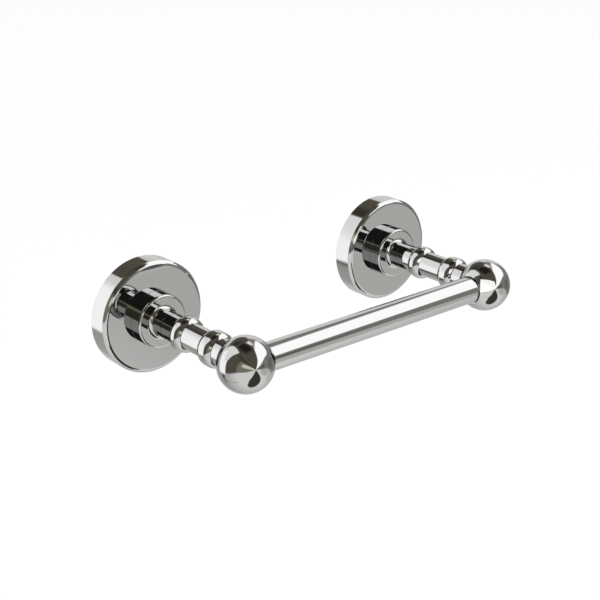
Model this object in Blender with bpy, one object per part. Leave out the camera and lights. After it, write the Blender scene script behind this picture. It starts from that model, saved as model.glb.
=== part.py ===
"""Toilet roll holder: two turned wall posts with ball ends and a sprung roller between them.

Metres, +Z up. The wall is the plane y = 0 and the holder stands out towards -Y. The origin lies
on the wall, midway between the two posts, at the height of the roller's axis.
"""
import math

import bmesh
import bpy

# Unit
MM = 0.001

# Driving dimensions
POST_CENTRES = 150.0 * MM
WALL_TO_BALL = 80.25 * MM
BAR_RADIUS = 6.6 * MM
FIT_GAP = 0.3 * MM
CUT_OVERRUN = 2.0 * MM

# Rose, the round cover cup against the wall
ROSE_RADIUS = 27.45 * MM
ROSE_DEPTH = 11.0 * MM
ROSE_WALL = 1.6 * MM
ROSE_EDGE_RADIUS = 1.7 * MM

# Post, one turned piece with its collar, a bead, a ring and a plain neck
COLLAR_PROUD = 0.15 * MM
COLLAR_LENGTH = 6.6 * MM
COLLAR_EDGE_RADIUS = 1.1 * MM
POST_RADIUS = 6.5 * MM
FOOT_FILLET_RADIUS = 2.0 * MM
BEAD_RADIUS = 8.45 * MM
BEAD_ARC_RADIUS = 3.9 * MM
BEAD_LAND = 1.15 * MM
BEAD_PLACE_SHARE = 0.417
RING_LAND = 2.5 * MM
NECK_LENGTH = 5.35 * MM

# Ball
BALL_WALL = 5.95 * MM
LEFT_ENGAGEMENT = 0.55 * MM
RIGHT_ENGAGEMENT = 2.0 * MM
PUSH_TRAVEL = 3.0 * MM
NOSE_HOLE_DEPTH = 2.2 * MM

# Screw that holds the post to the rose, from behind
SCREW_RADIUS = 3.0 * MM
SCREW_LENGTH = 20.0 * MM
SCREW_HEAD_RADIUS = 5.0 * MM
SCREW_HEAD_HEIGHT = 4.0 * MM
SCREW_SOCKET_RADIUS = 2.9 * MM
SCREW_SOCKET_DEPTH = 2.4 * MM
SCREW_CHAMFER = 0.4 * MM
WASHER_RADIUS = 6.0 * MM
WASHER_THICKNESS = 1.0 * MM

# Stud that joins the ball to the post
STUD_RADIUS = 2.5 * MM
STUD_POST_DEPTH = 9.0 * MM
STUD_BALL_DEPTH_SHARE = 0.45
STUD_CHAMFER = 0.4 * MM

# Wall plate inside the rose
PLATE_CLEARANCE = 2.35 * MM
PLATE_THICKNESS = 1.6 * MM
PLATE_RIM_HEIGHT = 6.0 * MM
PLATE_HOLE_MARGIN = 2.0 * MM
PLATE_BEND_RADIUS = 2.0 * MM
SLOT_RADIUS = 2.3 * MM
SLOT_LENGTH = 9.0 * MM
SLOT_SPACING = 30.0 * MM

# Grub screw under the rose's rim
GRUB_RADIUS = 2.0 * MM
GRUB_RECESS = 0.3 * MM
GRUB_CHAMFER = 0.35 * MM
GRUB_SOCKET_RADIUS = 1.15 * MM
GRUB_SOCKET_DEPTH = 1.5 * MM

# Roller between the balls
TUBE_WALL = 0.8 * MM
TUBE_CHAMFER = 0.3 * MM
PLUG_LENGTH = 8.0 * MM
GUIDE_LENGTH = 8.0 * MM
NOSE_RADIUS = 2.4 * MM
NOSE_CHAMFER = 0.5 * MM
FLANGE_CLEARANCE = 0.9 * MM
FLANGE_THICKNESS = 2.0 * MM
FLANGE_LEAD = 1.3 * MM
TAIL_LENGTH = 9.0 * MM
SPRING_LENGTH = 30.0 * MM
SPRING_WIRE_RADIUS = 0.45 * MM
SPRING_TURNS = 10
STOP_LENGTH = 4.0 * MM

# Facets
ROSE_SIDES = 40
POST_SIDES = 32
BALL_SIDES = 32
TUBE_SIDES = 32
SMALL_SIDES = 20
HEX_SIDES = 6
EDGE_STEPS = 3
BEAD_STEPS = 5
BALL_STEPS = 13
SLOT_STEPS = 6
SPRING_POINTS_PER_TURN = 9
SMOOTH_BELOW_DEG = 30.0
MERGE_SHARE = 0.001

# Sizes that follow from those above
HALF_CENTRES = POST_CENTRES / 2
SEAT_RADIUS = BAR_RADIUS + FIT_GAP
BALL_RADIUS = SEAT_RADIUS + BALL_WALL
COLLAR_RADIUS = BALL_RADIUS + COLLAR_PROUD
ROSE_INSIDE = ROSE_RADIUS - ROSE_WALL
ROSE_FACE_BACK = ROSE_DEPTH - ROSE_WALL
SCREW_HOLE = SCREW_RADIUS + FIT_GAP
STUD_HOLE = STUD_RADIUS + FIT_GAP
COLLAR_BACK = ROSE_DEPTH + FIT_GAP
COLLAR_FACE = COLLAR_BACK + COLLAR_LENGTH
BALL_FLAT = math.sqrt(BALL_RADIUS ** 2 - POST_RADIUS ** 2)
POST_END = WALL_TO_BALL - BALL_FLAT - FIT_GAP
BEAD_ANGLE = math.acos(1 - (BEAD_RADIUS - POST_RADIUS) / BEAD_ARC_RADIUS)
BEAD_FLANK = BEAD_ARC_RADIUS * math.sin(BEAD_ANGLE)
RING_START = POST_END - NECK_LENGTH - RING_LAND - 2 * BEAD_FLANK
BEAD_START = COLLAR_FACE + BEAD_PLACE_SHARE * (RING_START - COLLAR_FACE)
WASHER_FRONT = ROSE_FACE_BACK - FIT_GAP
SCREW_SEAT = WASHER_FRONT - WASHER_THICKNESS - FIT_GAP
STUD_BALL_DEPTH = STUD_BALL_DEPTH_SHARE * BALL_RADIUS
PLATE_RADIUS = ROSE_INSIDE - PLATE_CLEARANCE
PLATE_HOLE_RADIUS = SCREW_HEAD_RADIUS + PLATE_HOLE_MARGIN
GRUB_PLACE = (PLATE_BEND_RADIUS + PLATE_RIM_HEIGHT) / 2

SEAT_MOUTH = math.sqrt(BALL_RADIUS ** 2 - SEAT_RADIUS ** 2)
TUBE_LEFT_REACH = SEAT_MOUTH - LEFT_ENGAGEMENT
TUBE_RIGHT_REACH = SEAT_MOUTH - RIGHT_ENGAGEMENT
LEFT_SEAT_FLOOR = TUBE_LEFT_REACH - PUSH_TRAVEL - FIT_GAP
RIGHT_SEAT_FLOOR = TUBE_RIGHT_REACH - FIT_GAP
NOSE_BORE = NOSE_RADIUS + FIT_GAP
NOSE_HOLE_END = LEFT_SEAT_FLOOR - NOSE_HOLE_DEPTH

TUBE_LEFT = -HALF_CENTRES + TUBE_LEFT_REACH
TUBE_RIGHT = HALF_CENTRES - TUBE_RIGHT_REACH
TUBE_INSIDE = BAR_RADIUS - TUBE_WALL
FILLER_RADIUS = TUBE_INSIDE - FIT_GAP
FLANGE_RADIUS = TUBE_INSIDE - FLANGE_CLEARANCE
SPRING_RADIUS = FLANGE_RADIUS - 2 * SPRING_WIRE_RADIUS
TAIL_RADIUS = SPRING_RADIUS - SPRING_WIRE_RADIUS - 2 * FIT_GAP
NOSE_TIP = -HALF_CENTRES + NOSE_HOLE_END + FIT_GAP
GUIDE_LEFT = TUBE_LEFT + FIT_GAP
GUIDE_RIGHT = GUIDE_LEFT + GUIDE_LENGTH
FLANGE_LEFT = GUIDE_RIGHT + FLANGE_LEAD
FLANGE_RIGHT = FLANGE_LEFT + FLANGE_THICKNESS
SPRING_LEFT = FLANGE_RIGHT + FIT_GAP
SPRING_RIGHT = SPRING_LEFT + SPRING_LENGTH
STOP_LEFT = SPRING_RIGHT + FIT_GAP
PLUG_RIGHT = TUBE_RIGHT - FIT_GAP

# Which way a turned piece's own axis points
OUT_OF_WALL = (math.pi / 2, 0.0, 0.0)
ALONG_BAR = (0.0, math.pi / 2, 0.0)
DOWNWARDS = (math.pi, 0.0, 0.0)


def clear_scene():
    """Remove whatever the scene holds."""
    for old in list(bpy.data.objects):
        bpy.data.objects.remove(old, do_unlink=True)


def make_material(name, colour, roughness, metallic):
    """Make a plain shaded material."""
    material = bpy.data.materials.new(name)
    material.use_nodes = True
    shader = material.node_tree.nodes["Principled BSDF"]
    shader.inputs["Base Color"].default_value = (*colour, 1.0)
    shader.inputs["Roughness"].default_value = roughness
    shader.inputs["Metallic"].default_value = metallic
    return material


def add_object(name, data, parent, location=(0.0, 0.0, 0.0), rotation=(0.0, 0.0, 0.0)):
    """Link a new object under its parent."""
    thing = bpy.data.objects.new(name, data)
    bpy.context.scene.collection.objects.link(thing)
    thing.parent = parent
    thing.location = location
    thing.rotation_euler = rotation
    return thing


def add_empty(name, location):
    """Add an empty that places a group of pieces."""
    return add_object(name, None, None, location)


def finish_mesh(mesh_builder, name):
    """Merge doubles, point the faces outwards and shade the round faces smooth."""
    bmesh.ops.remove_doubles(mesh_builder, verts=mesh_builder.verts, dist=MERGE_SHARE * FIT_GAP)
    bmesh.ops.recalc_face_normals(mesh_builder, faces=mesh_builder.faces)
    mesh = bpy.data.meshes.new(name)
    mesh_builder.to_mesh(mesh)
    mesh_builder.free()
    mesh.shade_smooth()
    mesh.set_sharp_from_angle(angle=math.radians(SMOOTH_BELOW_DEG))
    return mesh


def turned_mesh(name, outline, sides, closed):
    """Turn an outline of (place along the axis, radius) points about the local Z axis."""
    builder = bmesh.new()
    verts = [builder.verts.new((radius, 0.0, along)) for along, radius in outline]
    pairs = list(zip(verts, verts[1:]))
    if closed:
        pairs.append((verts[-1], verts[0]))
    edges = [builder.edges.new(pair) for pair in pairs]
    bmesh.ops.spin(builder, geom=verts + edges, axis=(0.0, 0.0, 1.0), cent=(0.0, 0.0, 0.0),
                   angle=2 * math.pi, steps=sides, use_merge=True)
    return finish_mesh(builder, name)


def turned(name, outline, sides, parent, location, rotation, material=None, closed=False):
    """Add a turned piece; a closed outline makes a ring with a bore right through it."""
    piece = add_object(name, turned_mesh(name, outline, sides, closed), parent, location, rotation)
    if material:
        piece.data.materials.append(material)
    return piece


def arc(centre, radius, start_deg, end_deg, steps):
    """Points of an arc; the angle runs from the axis direction towards the radius direction."""
    points = []
    for step in range(steps + 1):
        angle = math.radians(start_deg + (end_deg - start_deg) * step / steps)
        points.append((centre[0] + radius * math.cos(angle), centre[1] + radius * math.sin(angle)))
    return points


def plain_pin(start, end, radius, chamfer):
    """Outline of a pin with a chamfer at both ends."""
    return [(start, 0.0), (start, radius - chamfer), (start + chamfer, radius),
            (end - chamfer, radius), (end, radius - chamfer), (end, 0.0)]


def ring(start, end, inside, outside):
    """Outline of a plain ring, closed round its bore."""
    return [(start, inside), (start, outside), (end, outside), (end, inside)]


def cut(piece, cutter):
    """Cut one piece with another, which stays in the scene as a guide only."""
    cutter.hide_render = True
    cutter.display_type = "WIRE"
    boolean = piece.modifiers.new(cutter.name, "BOOLEAN")
    boolean.operation = "DIFFERENCE"
    boolean.solver = "EXACT"
    boolean.object = cutter


def rose_outline():
    """A cup with a rounded front edge and a hole for the post screw."""
    edge = (ROSE_DEPTH - ROSE_EDGE_RADIUS, ROSE_RADIUS - ROSE_EDGE_RADIUS)
    outline = [(0.0, ROSE_RADIUS)]
    outline += arc(edge, ROSE_EDGE_RADIUS, 90.0, 0.0, EDGE_STEPS)
    outline += [(ROSE_DEPTH, SCREW_HOLE), (ROSE_FACE_BACK, SCREW_HOLE)]
    outline += [(ROSE_FACE_BACK, ROSE_INSIDE), (0.0, ROSE_INSIDE)]
    return outline


def post_outline():
    """From the screw hole round the collar, the beads and the stud hole."""
    screw_hole_end = SCREW_SEAT + SCREW_LENGTH + FIT_GAP
    outline = [(screw_hole_end, 0.0), (screw_hole_end, SCREW_HOLE), (COLLAR_BACK, SCREW_HOLE)]
    outline += [(COLLAR_BACK, COLLAR_RADIUS)]
    edge = (COLLAR_FACE - COLLAR_EDGE_RADIUS, COLLAR_RADIUS - COLLAR_EDGE_RADIUS)
    outline += arc(edge, COLLAR_EDGE_RADIUS, 90.0, 0.0, EDGE_STEPS)
    foot = (COLLAR_FACE + FOOT_FILLET_RADIUS, POST_RADIUS + FOOT_FILLET_RADIUS)
    outline += arc(foot, FOOT_FILLET_RADIUS, 180.0, 270.0, EDGE_STEPS)
    outline += bead_points(BEAD_START, BEAD_LAND)
    outline += bead_points(RING_START, RING_LAND)
    stud_hole_end = POST_END - STUD_POST_DEPTH - FIT_GAP
    outline += [(POST_END, POST_RADIUS), (POST_END, STUD_HOLE)]
    outline += [(stud_hole_end, STUD_HOLE), (stud_hole_end, 0.0)]
    return outline


def bead_points(start, land):
    """A rise and a fall of the same arc, each from a crease in the post, with a plain land between."""
    angle_deg = math.degrees(BEAD_ANGLE)
    axis_radius = BEAD_RADIUS - BEAD_ARC_RADIUS
    rise_end = start + BEAD_FLANK
    points = arc((rise_end, axis_radius), BEAD_ARC_RADIUS, 90.0 + angle_deg, 90.0, BEAD_STEPS)
    points += arc((rise_end + land, axis_radius), BEAD_ARC_RADIUS, 90.0, 90.0 - angle_deg, BEAD_STEPS)
    return points


def ball_outline():
    """A ball with a flat and a stud hole at the back, measured from its centre."""
    hole_end = -BALL_FLAT + STUD_BALL_DEPTH + FIT_GAP
    flat_deg = math.degrees(math.atan2(POST_RADIUS, -BALL_FLAT))
    outline = [(hole_end, 0.0), (hole_end, STUD_HOLE), (-BALL_FLAT, STUD_HOLE)]
    outline += arc((0.0, 0.0), BALL_RADIUS, flat_deg, 0.0, BALL_STEPS)
    return outline


def seat_outline(seat_floor, nose_hole_end=None):
    """Cutter for a roller seat, with a deeper hole for the plunger's nose where there is one."""
    mouth = BALL_RADIUS + CUT_OVERRUN
    outline = [(seat_floor, SEAT_RADIUS), (mouth, SEAT_RADIUS), (mouth, 0.0)]
    if nose_hole_end is None:
        return [(seat_floor, 0.0)] + outline
    nose_hole = [(nose_hole_end, 0.0), (nose_hole_end, NOSE_BORE)]
    return nose_hole + [(seat_floor, NOSE_BORE)] + outline


def screw_outline():
    """A cap screw whose head sits behind the washer."""
    head_back = SCREW_SEAT - SCREW_HEAD_HEIGHT
    tip = SCREW_SEAT + SCREW_LENGTH
    return [(head_back, 0.0), (head_back, SCREW_HEAD_RADIUS - SCREW_CHAMFER),
            (head_back + SCREW_CHAMFER, SCREW_HEAD_RADIUS), (SCREW_SEAT, SCREW_HEAD_RADIUS),
            (SCREW_SEAT, SCREW_RADIUS), (tip - SCREW_CHAMFER, SCREW_RADIUS),
            (tip, SCREW_RADIUS - SCREW_CHAMFER), (tip, 0.0)]


def plate_outline():
    """A dished plate: a flat floor with a central hole and a rim that stands off the wall."""
    inner_bend = PLATE_BEND_RADIUS - PLATE_THICKNESS
    bend = (PLATE_BEND_RADIUS, PLATE_RADIUS - PLATE_BEND_RADIUS)
    outline = [(0.0, PLATE_HOLE_RADIUS)]
    outline += arc(bend, PLATE_BEND_RADIUS, 180.0, 90.0, EDGE_STEPS)
    outline += [(PLATE_RIM_HEIGHT, PLATE_RADIUS), (PLATE_RIM_HEIGHT, PLATE_RADIUS - PLATE_THICKNESS)]
    outline += arc(bend, inner_bend, 90.0, 180.0, EDGE_STEPS)
    outline += [(PLATE_THICKNESS, PLATE_HOLE_RADIUS)]
    return outline


def slot_mesh(name):
    """A slot's cutter: two half rounds joined by straight sides, run through the plate."""
    half_straight = SLOT_LENGTH / 2 - SLOT_RADIUS
    builder = bmesh.new()
    outline = []
    for side, first_deg in ((1, -90.0), (-1, 90.0)):
        centre = (side * half_straight, 0.0)
        for across, up in arc(centre, SLOT_RADIUS, first_deg, first_deg + 180.0, SLOT_STEPS):
            outline.append(builder.verts.new((across, up, -CUT_OVERRUN)))
    face = builder.faces.new(outline)
    grown = bmesh.ops.extrude_face_region(builder, geom=[face])["geom"]
    top = [item for item in grown if isinstance(item, bmesh.types.BMVert)]
    bmesh.ops.translate(builder, verts=top, vec=(0.0, 0.0, PLATE_THICKNESS + 2 * CUT_OVERRUN))
    return finish_mesh(builder, name)


def add_wall_plate(side, base, material):
    """The plate that the wall screws hold, with a slot on each side of its middle."""
    plate = turned(side + "_wall_plate", plate_outline(), ROSE_SIDES, base, (0.0, 0.0, 0.0),
                   OUT_OF_WALL, material, closed=True)
    for number, direction in enumerate((-1, 1), start=1):
        name = "{}_slot_cutter_{}".format(side, number)
        place = (direction * SLOT_SPACING / 2, 0.0, 0.0)
        cut(plate, add_object(name, slot_mesh(name), base, place, OUT_OF_WALL))


def add_rose(side, base, material):
    """The cover cup, with the grub screw's hole through the underside of its rim."""
    rose = turned(side + "_rose", rose_outline(), ROSE_SIDES, base, (0.0, 0.0, 0.0),
                  OUT_OF_WALL, material, closed=True)
    hole = plain_pin(ROSE_INSIDE - CUT_OVERRUN, ROSE_RADIUS + CUT_OVERRUN, GRUB_RADIUS + FIT_GAP, 0.0)
    cut(rose, turned(side + "_grub_hole_cutter", hole, SMALL_SIDES, base, grub_place(), DOWNWARDS))


def grub_place():
    """A point on the grub screw's axis, level with the straight part of the plate's rim."""
    return (0.0, -GRUB_PLACE, 0.0)


def add_grub_screw(side, base, material):
    """The small screw that clamps the rose to the rim of the wall plate."""
    tip = PLATE_RADIUS + FIT_GAP
    end = ROSE_RADIUS - GRUB_RECESS
    grub = turned(side + "_rose_grub_screw", plain_pin(tip, end, GRUB_RADIUS, GRUB_CHAMFER),
                  SMALL_SIDES, base, grub_place(), DOWNWARDS, material)
    socket = plain_pin(end - GRUB_SOCKET_DEPTH, end + CUT_OVERRUN, GRUB_SOCKET_RADIUS, 0.0)
    cut(grub, turned(side + "_grub_socket_cutter", socket, HEX_SIDES, base, grub_place(), DOWNWARDS))


def add_post_screw(side, base, material):
    """The cap screw and its washer, inside the rose."""
    screw = turned(side + "_post_screw", screw_outline(), SMALL_SIDES, base, (0.0, 0.0, 0.0),
                   OUT_OF_WALL, material)
    head_back = SCREW_SEAT - SCREW_HEAD_HEIGHT
    socket = plain_pin(head_back - CUT_OVERRUN, head_back + SCREW_SOCKET_DEPTH, SCREW_SOCKET_RADIUS, 0.0)
    cut(screw, turned(side + "_screw_socket_cutter", socket, HEX_SIDES, base, (0.0, 0.0, 0.0),
                      OUT_OF_WALL))
    washer = ring(WASHER_FRONT - WASHER_THICKNESS, WASHER_FRONT, SCREW_HOLE, WASHER_RADIUS)
    turned(side + "_post_washer", washer, SMALL_SIDES, base, (0.0, 0.0, 0.0), OUT_OF_WALL,
           material, closed=True)


def add_ball(side, inward, base, chrome, steel):
    """The ball with its roller seat, and the stud that holds it."""
    centre = (0.0, -WALL_TO_BALL, 0.0)
    ball = turned(side + "_ball", ball_outline(), BALL_SIDES, base, centre, OUT_OF_WALL, chrome)
    if inward > 0:
        seat = seat_outline(LEFT_SEAT_FLOOR, NOSE_HOLE_END)
    else:
        seat = seat_outline(RIGHT_SEAT_FLOOR)
    towards_middle = (0.0, inward * math.pi / 2, 0.0)
    cut(ball, turned(side + "_seat_cutter", seat, TUBE_SIDES, base, centre, towards_middle))
    ball_back = WALL_TO_BALL - BALL_FLAT
    stud = plain_pin(POST_END - STUD_POST_DEPTH, ball_back + STUD_BALL_DEPTH, STUD_RADIUS, STUD_CHAMFER)
    turned(side + "_ball_stud", stud, SMALL_SIDES, base, (0.0, 0.0, 0.0), OUT_OF_WALL, steel)


def add_end(side, inward, chrome, steel):
    """One end of the holder: everything that stays on the wall at one side."""
    base = add_empty(side + "_base", (-inward * HALF_CENTRES, 0.0, 0.0))
    add_wall_plate(side, base, steel)
    add_rose(side, base, chrome)
    add_grub_screw(side, base, steel)
    add_post_screw(side, base, steel)
    turned(side + "_post", post_outline(), POST_SIDES, base, (0.0, 0.0, 0.0), OUT_OF_WALL, chrome)
    add_ball(side, inward, base, chrome, steel)


def tube_outline():
    """The roller's tube, its outer edges broken by a small chamfer."""
    return [(TUBE_LEFT, TUBE_INSIDE), (TUBE_LEFT, BAR_RADIUS - TUBE_CHAMFER),
            (TUBE_LEFT + TUBE_CHAMFER, BAR_RADIUS), (TUBE_RIGHT - TUBE_CHAMFER, BAR_RADIUS),
            (TUBE_RIGHT, BAR_RADIUS - TUBE_CHAMFER), (TUBE_RIGHT, TUBE_INSIDE)]


def plunger_outline():
    """The plunger: nose pin, flange that the spring pushes on, and a tail inside the spring."""
    tail_end = FLANGE_RIGHT + TAIL_LENGTH
    return [(NOSE_TIP, 0.0), (NOSE_TIP, NOSE_RADIUS - NOSE_CHAMFER),
            (NOSE_TIP + NOSE_CHAMFER, NOSE_RADIUS), (FLANGE_LEFT, NOSE_RADIUS),
            (FLANGE_LEFT, FLANGE_RADIUS), (FLANGE_RIGHT, FLANGE_RADIUS),
            (FLANGE_RIGHT, TAIL_RADIUS), (tail_end, TAIL_RADIUS), (tail_end, 0.0)]


def add_spring(parent, material):
    """The coil spring, one unbroken wire from the plunger's flange to the stop."""
    first = SPRING_LEFT + SPRING_WIRE_RADIUS
    last = SPRING_RIGHT - SPRING_WIRE_RADIUS
    steps = SPRING_TURNS * SPRING_POINTS_PER_TURN
    wire = bpy.data.curves.new("plunger_spring", "CURVE")
    wire.dimensions = "3D"
    wire.bevel_depth = SPRING_WIRE_RADIUS
    wire.bevel_resolution = 1
    wire.use_fill_caps = True
    spline = wire.splines.new("POLY")
    spline.points.add(steps)
    for step, point in enumerate(spline.points):
        angle = 2 * math.pi * step / SPRING_POINTS_PER_TURN
        point.co = (first + (last - first) * step / steps, SPRING_RADIUS * math.cos(angle),
                    SPRING_RADIUS * math.sin(angle), 1.0)
    wire.materials.append(material)
    add_object("plunger_spring", wire, parent)


def add_roller(chrome, steel, nylon):
    """The roller: a tube with a plug at one end and a sprung plunger at the other."""
    axis = add_empty("roller_axis", (0.0, -WALL_TO_BALL, 0.0))
    here = (0.0, 0.0, 0.0)
    turned("roller_tube", tube_outline(), TUBE_SIDES, axis, here, ALONG_BAR, chrome, closed=True)
    plug = plain_pin(PLUG_RIGHT - PLUG_LENGTH, PLUG_RIGHT, FILLER_RADIUS, TUBE_CHAMFER)
    turned("roller_end_plug", plug, SMALL_SIDES, axis, here, ALONG_BAR, nylon)
    guide = ring(GUIDE_LEFT, GUIDE_RIGHT, NOSE_BORE, FILLER_RADIUS)
    turned("plunger_guide", guide, SMALL_SIDES, axis, here, ALONG_BAR, nylon, closed=True)
    turned("plunger", plunger_outline(), SMALL_SIDES, axis, here, ALONG_BAR, nylon)
    stop = plain_pin(STOP_LEFT, STOP_LEFT + STOP_LENGTH, FILLER_RADIUS, TUBE_CHAMFER)
    turned("spring_stop", stop, SMALL_SIDES, axis, here, ALONG_BAR, nylon)
    add_spring(axis, steel)


def main():
    """Build both ends and the roller between them."""
    clear_scene()
    chrome = make_material("polished_chrome", (0.80, 0.80, 0.79), 0.04, 1.0)
    steel = make_material("plated_steel", (0.62, 0.62, 0.60), 0.35, 1.0)
    nylon = make_material("nylon", (0.10, 0.10, 0.10), 0.5, 0.0)
    add_end("left", 1, chrome, steel)
    add_end("right", -1, chrome, steel)
    add_roller(chrome, steel, nylon)
    bpy.context.view_layer.update()


main()
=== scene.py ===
"""Looks of a chrome toilet roll holder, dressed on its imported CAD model.

Metres, +Z up. The wall is the plane y = 0, the holder stands out towards -Y, and the bar runs along X.
Every turned piece is made from one outline, with the outer sizes of the CAD piece that it stands for.
"""
from __future__ import annotations

import logging
import math
from dataclasses import dataclass, field
from enum import Enum, IntEnum

import bmesh
import bpy
import numpy as np
from mathutils import Matrix, Quaternion, Vector

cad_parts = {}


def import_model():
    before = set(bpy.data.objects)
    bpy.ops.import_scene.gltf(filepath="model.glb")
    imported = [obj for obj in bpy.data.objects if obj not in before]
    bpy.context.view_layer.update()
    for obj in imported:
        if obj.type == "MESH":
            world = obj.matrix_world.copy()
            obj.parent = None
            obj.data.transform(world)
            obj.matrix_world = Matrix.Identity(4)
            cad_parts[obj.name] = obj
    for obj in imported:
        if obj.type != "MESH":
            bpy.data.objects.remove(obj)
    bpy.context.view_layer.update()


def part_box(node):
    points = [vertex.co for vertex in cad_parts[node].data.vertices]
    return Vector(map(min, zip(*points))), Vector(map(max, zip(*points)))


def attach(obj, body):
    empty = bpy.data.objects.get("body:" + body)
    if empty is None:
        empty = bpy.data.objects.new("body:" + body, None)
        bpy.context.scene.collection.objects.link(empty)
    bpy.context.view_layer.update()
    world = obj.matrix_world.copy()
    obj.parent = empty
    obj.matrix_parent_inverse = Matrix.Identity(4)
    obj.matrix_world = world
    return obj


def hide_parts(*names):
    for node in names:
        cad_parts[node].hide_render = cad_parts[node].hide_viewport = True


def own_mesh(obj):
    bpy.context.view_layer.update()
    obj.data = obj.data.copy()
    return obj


LOG = logging.getLogger("toilet_roll_holder")

MM = 0.001
BRACKETS = "brackets"
HEXAGON = 6
THREAD_CORE_SHARE = 0.75
RIB_FOOT_SHARE = 0.9

Point = tuple[float, float]
Place = tuple[float, float, float]
Colour = tuple[float, float, float]

FULL_WHITE = (1.0, 1.0, 1.0, 1.0)


class Axis(Enum):
    """The world direction that a turned piece's own axis points along."""

    OUT_OF_WALL = (0.0, -1.0, 0.0)
    RIGHT = (1.0, 0.0, 0.0)
    LEFT = (-1.0, 0.0, 0.0)
    DOWN = (0.0, 0.0, -1.0)

    def matrix(self, origin: Vector) -> Matrix:
        """Give the matrix that takes local +Z to this direction.

        Args:
            origin: where the local origin goes.

        Returns:
            The matrix.
        """
        turn = Vector(self.value).to_track_quat("Z", "Y").to_matrix().to_4x4()
        return Matrix.Translation(origin) @ turn


class Side(Enum):
    """One end of the holder."""

    LEFT = "left"
    RIGHT = "right"

    @property
    def inward(self) -> Axis:
        """The direction from this end towards the middle of the bar."""
        return Axis.RIGHT if self is Side.LEFT else Axis.LEFT


@dataclass(frozen=True)
class Corner:
    """A corner of an outline.

    Attributes:
        along: place along the turning axis.
        radius: distance from the turning axis.
        edge: radius that rounds the corner, 0 for a sharp one.
    """

    along: float
    radius: float
    edge: float = 0.0


@dataclass
class Outline:
    """The outline of a turned piece, as points of (place along the axis, radius).

    Attributes:
        edge_steps: facets in a rounded corner.
        arc_steps: facets in a bead's rise or fall.
        hold: distance of the ring that holds a flat face flat next to a curve.
        points: the points so far.
    """

    edge_steps: int = 6
    arc_steps: int = 20
    hold: float = 0.04 * MM
    points: list[Point] = field(default_factory=list)

    def add(self, *points: Point) -> Outline:
        """Add points as they are."""
        self.points.extend(points)
        return self

    def corners(self, corners: list[Corner]) -> Outline:
        """Add straight runs between corners, with the corners rounded.

        Args:
            corners: the corners; the first and the last one stay sharp.

        Returns:
            The outline itself.
        """
        self.points.append((corners[0].along, corners[0].radius))
        for before, here, after in zip(corners, corners[1:], corners[2:]):
            self._corner(before, here, after)
        self.points.append((corners[-1].along, corners[-1].radius))
        return self

    def _corner(self, before: Corner, here: Corner, after: Corner) -> None:
        """Add one corner, rounded, with a holding point on each side of it.

        Args:
            before: the corner before it.
            here: the corner.
            after: the corner after it.
        """
        middle = Vector((here.along, here.radius))
        back = (Vector((before.along, before.radius)) - middle).normalized()
        ahead = (Vector((after.along, after.radius)) - middle).normalized()
        half_angle = back.angle(ahead) / 2
        if here.edge <= 0.0:
            self.add(tuple(middle + back * self.hold), tuple(middle), tuple(middle + ahead * self.hold))
            return
        reach = here.edge / math.tan(half_angle)
        centre = middle + (back + ahead).normalized() * (here.edge / math.sin(half_angle))
        start = middle + back * reach - centre
        end = middle + ahead * reach - centre
        self.points.append(tuple(centre + start + back * self.hold))
        for step in range(self.edge_steps + 1):
            share = step / self.edge_steps
            blend = (start * (1 - share) + end * share).normalized() * here.edge
            self.points.append(tuple(centre + blend))
        self.points.append(tuple(centre + end + ahead * self.hold))

    def arc(self, along: float, up: float, radius: float, start_deg: float, end_deg: float,
            steps: int) -> Outline:
        """Add an arc whose angle runs from the axis direction towards the radius direction.

        Args:
            along: place of the arc's centre along the axis.
            up: distance of that centre from the axis.
            radius: the arc's radius.
            start_deg: first angle.
            end_deg: last angle.
            steps: facets.

        Returns:
            The outline itself.
        """
        for step in range(steps + 1):
            angle = math.radians(start_deg + (end_deg - start_deg) * step / steps)
            self.add((along + radius * math.cos(angle), up + radius * math.sin(angle)))
        return self

    def bead(self, start: float, land: float, foot: float, crest: float, arc_radius: float) -> Outline:
        """Add a bead: a rise and a fall of the same arc, each from a crease, with a plain land between.

        Args:
            start: place of the first crease.
            land: length of the land.
            foot: radius of the turned piece on both sides of the bead.
            crest: radius of the land.
            arc_radius: radius of both arcs.

        Returns:
            The outline itself.
        """
        angle = math.acos(1 - (crest - foot) / arc_radius)
        flank, degrees = arc_radius * math.sin(angle), math.degrees(angle)
        rise_end = start + flank
        self.add((start - self.hold, foot))
        self.arc(rise_end, crest - arc_radius, arc_radius, 90.0 + degrees, 90.0, self.arc_steps)
        self.arc(rise_end + land, crest - arc_radius, arc_radius, 90.0, 90.0 - degrees, self.arc_steps)
        self.add((rise_end + land + flank + self.hold, foot))
        return self

    def run(self, start: float, end: float, radius: float, step: float) -> Outline:
        """Add a straight run with points close enough for a thread or ribs.

        Args:
            start: place of its first point.
            end: place of its last point.
            radius: its radius.
            step: greatest distance between points.

        Returns:
            The outline itself.
        """
        for place in np.linspace(start, end, max(2, math.ceil((end - start) / step) + 1)):
            self.add((float(place), radius))
        return self


def added(name: str, data: bpy.types.ID) -> bpy.types.Object:
    """Put a new object with this data in the scene."""
    thing = bpy.data.objects.new(name, data)
    bpy.context.scene.collection.objects.link(thing)
    return thing


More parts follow.
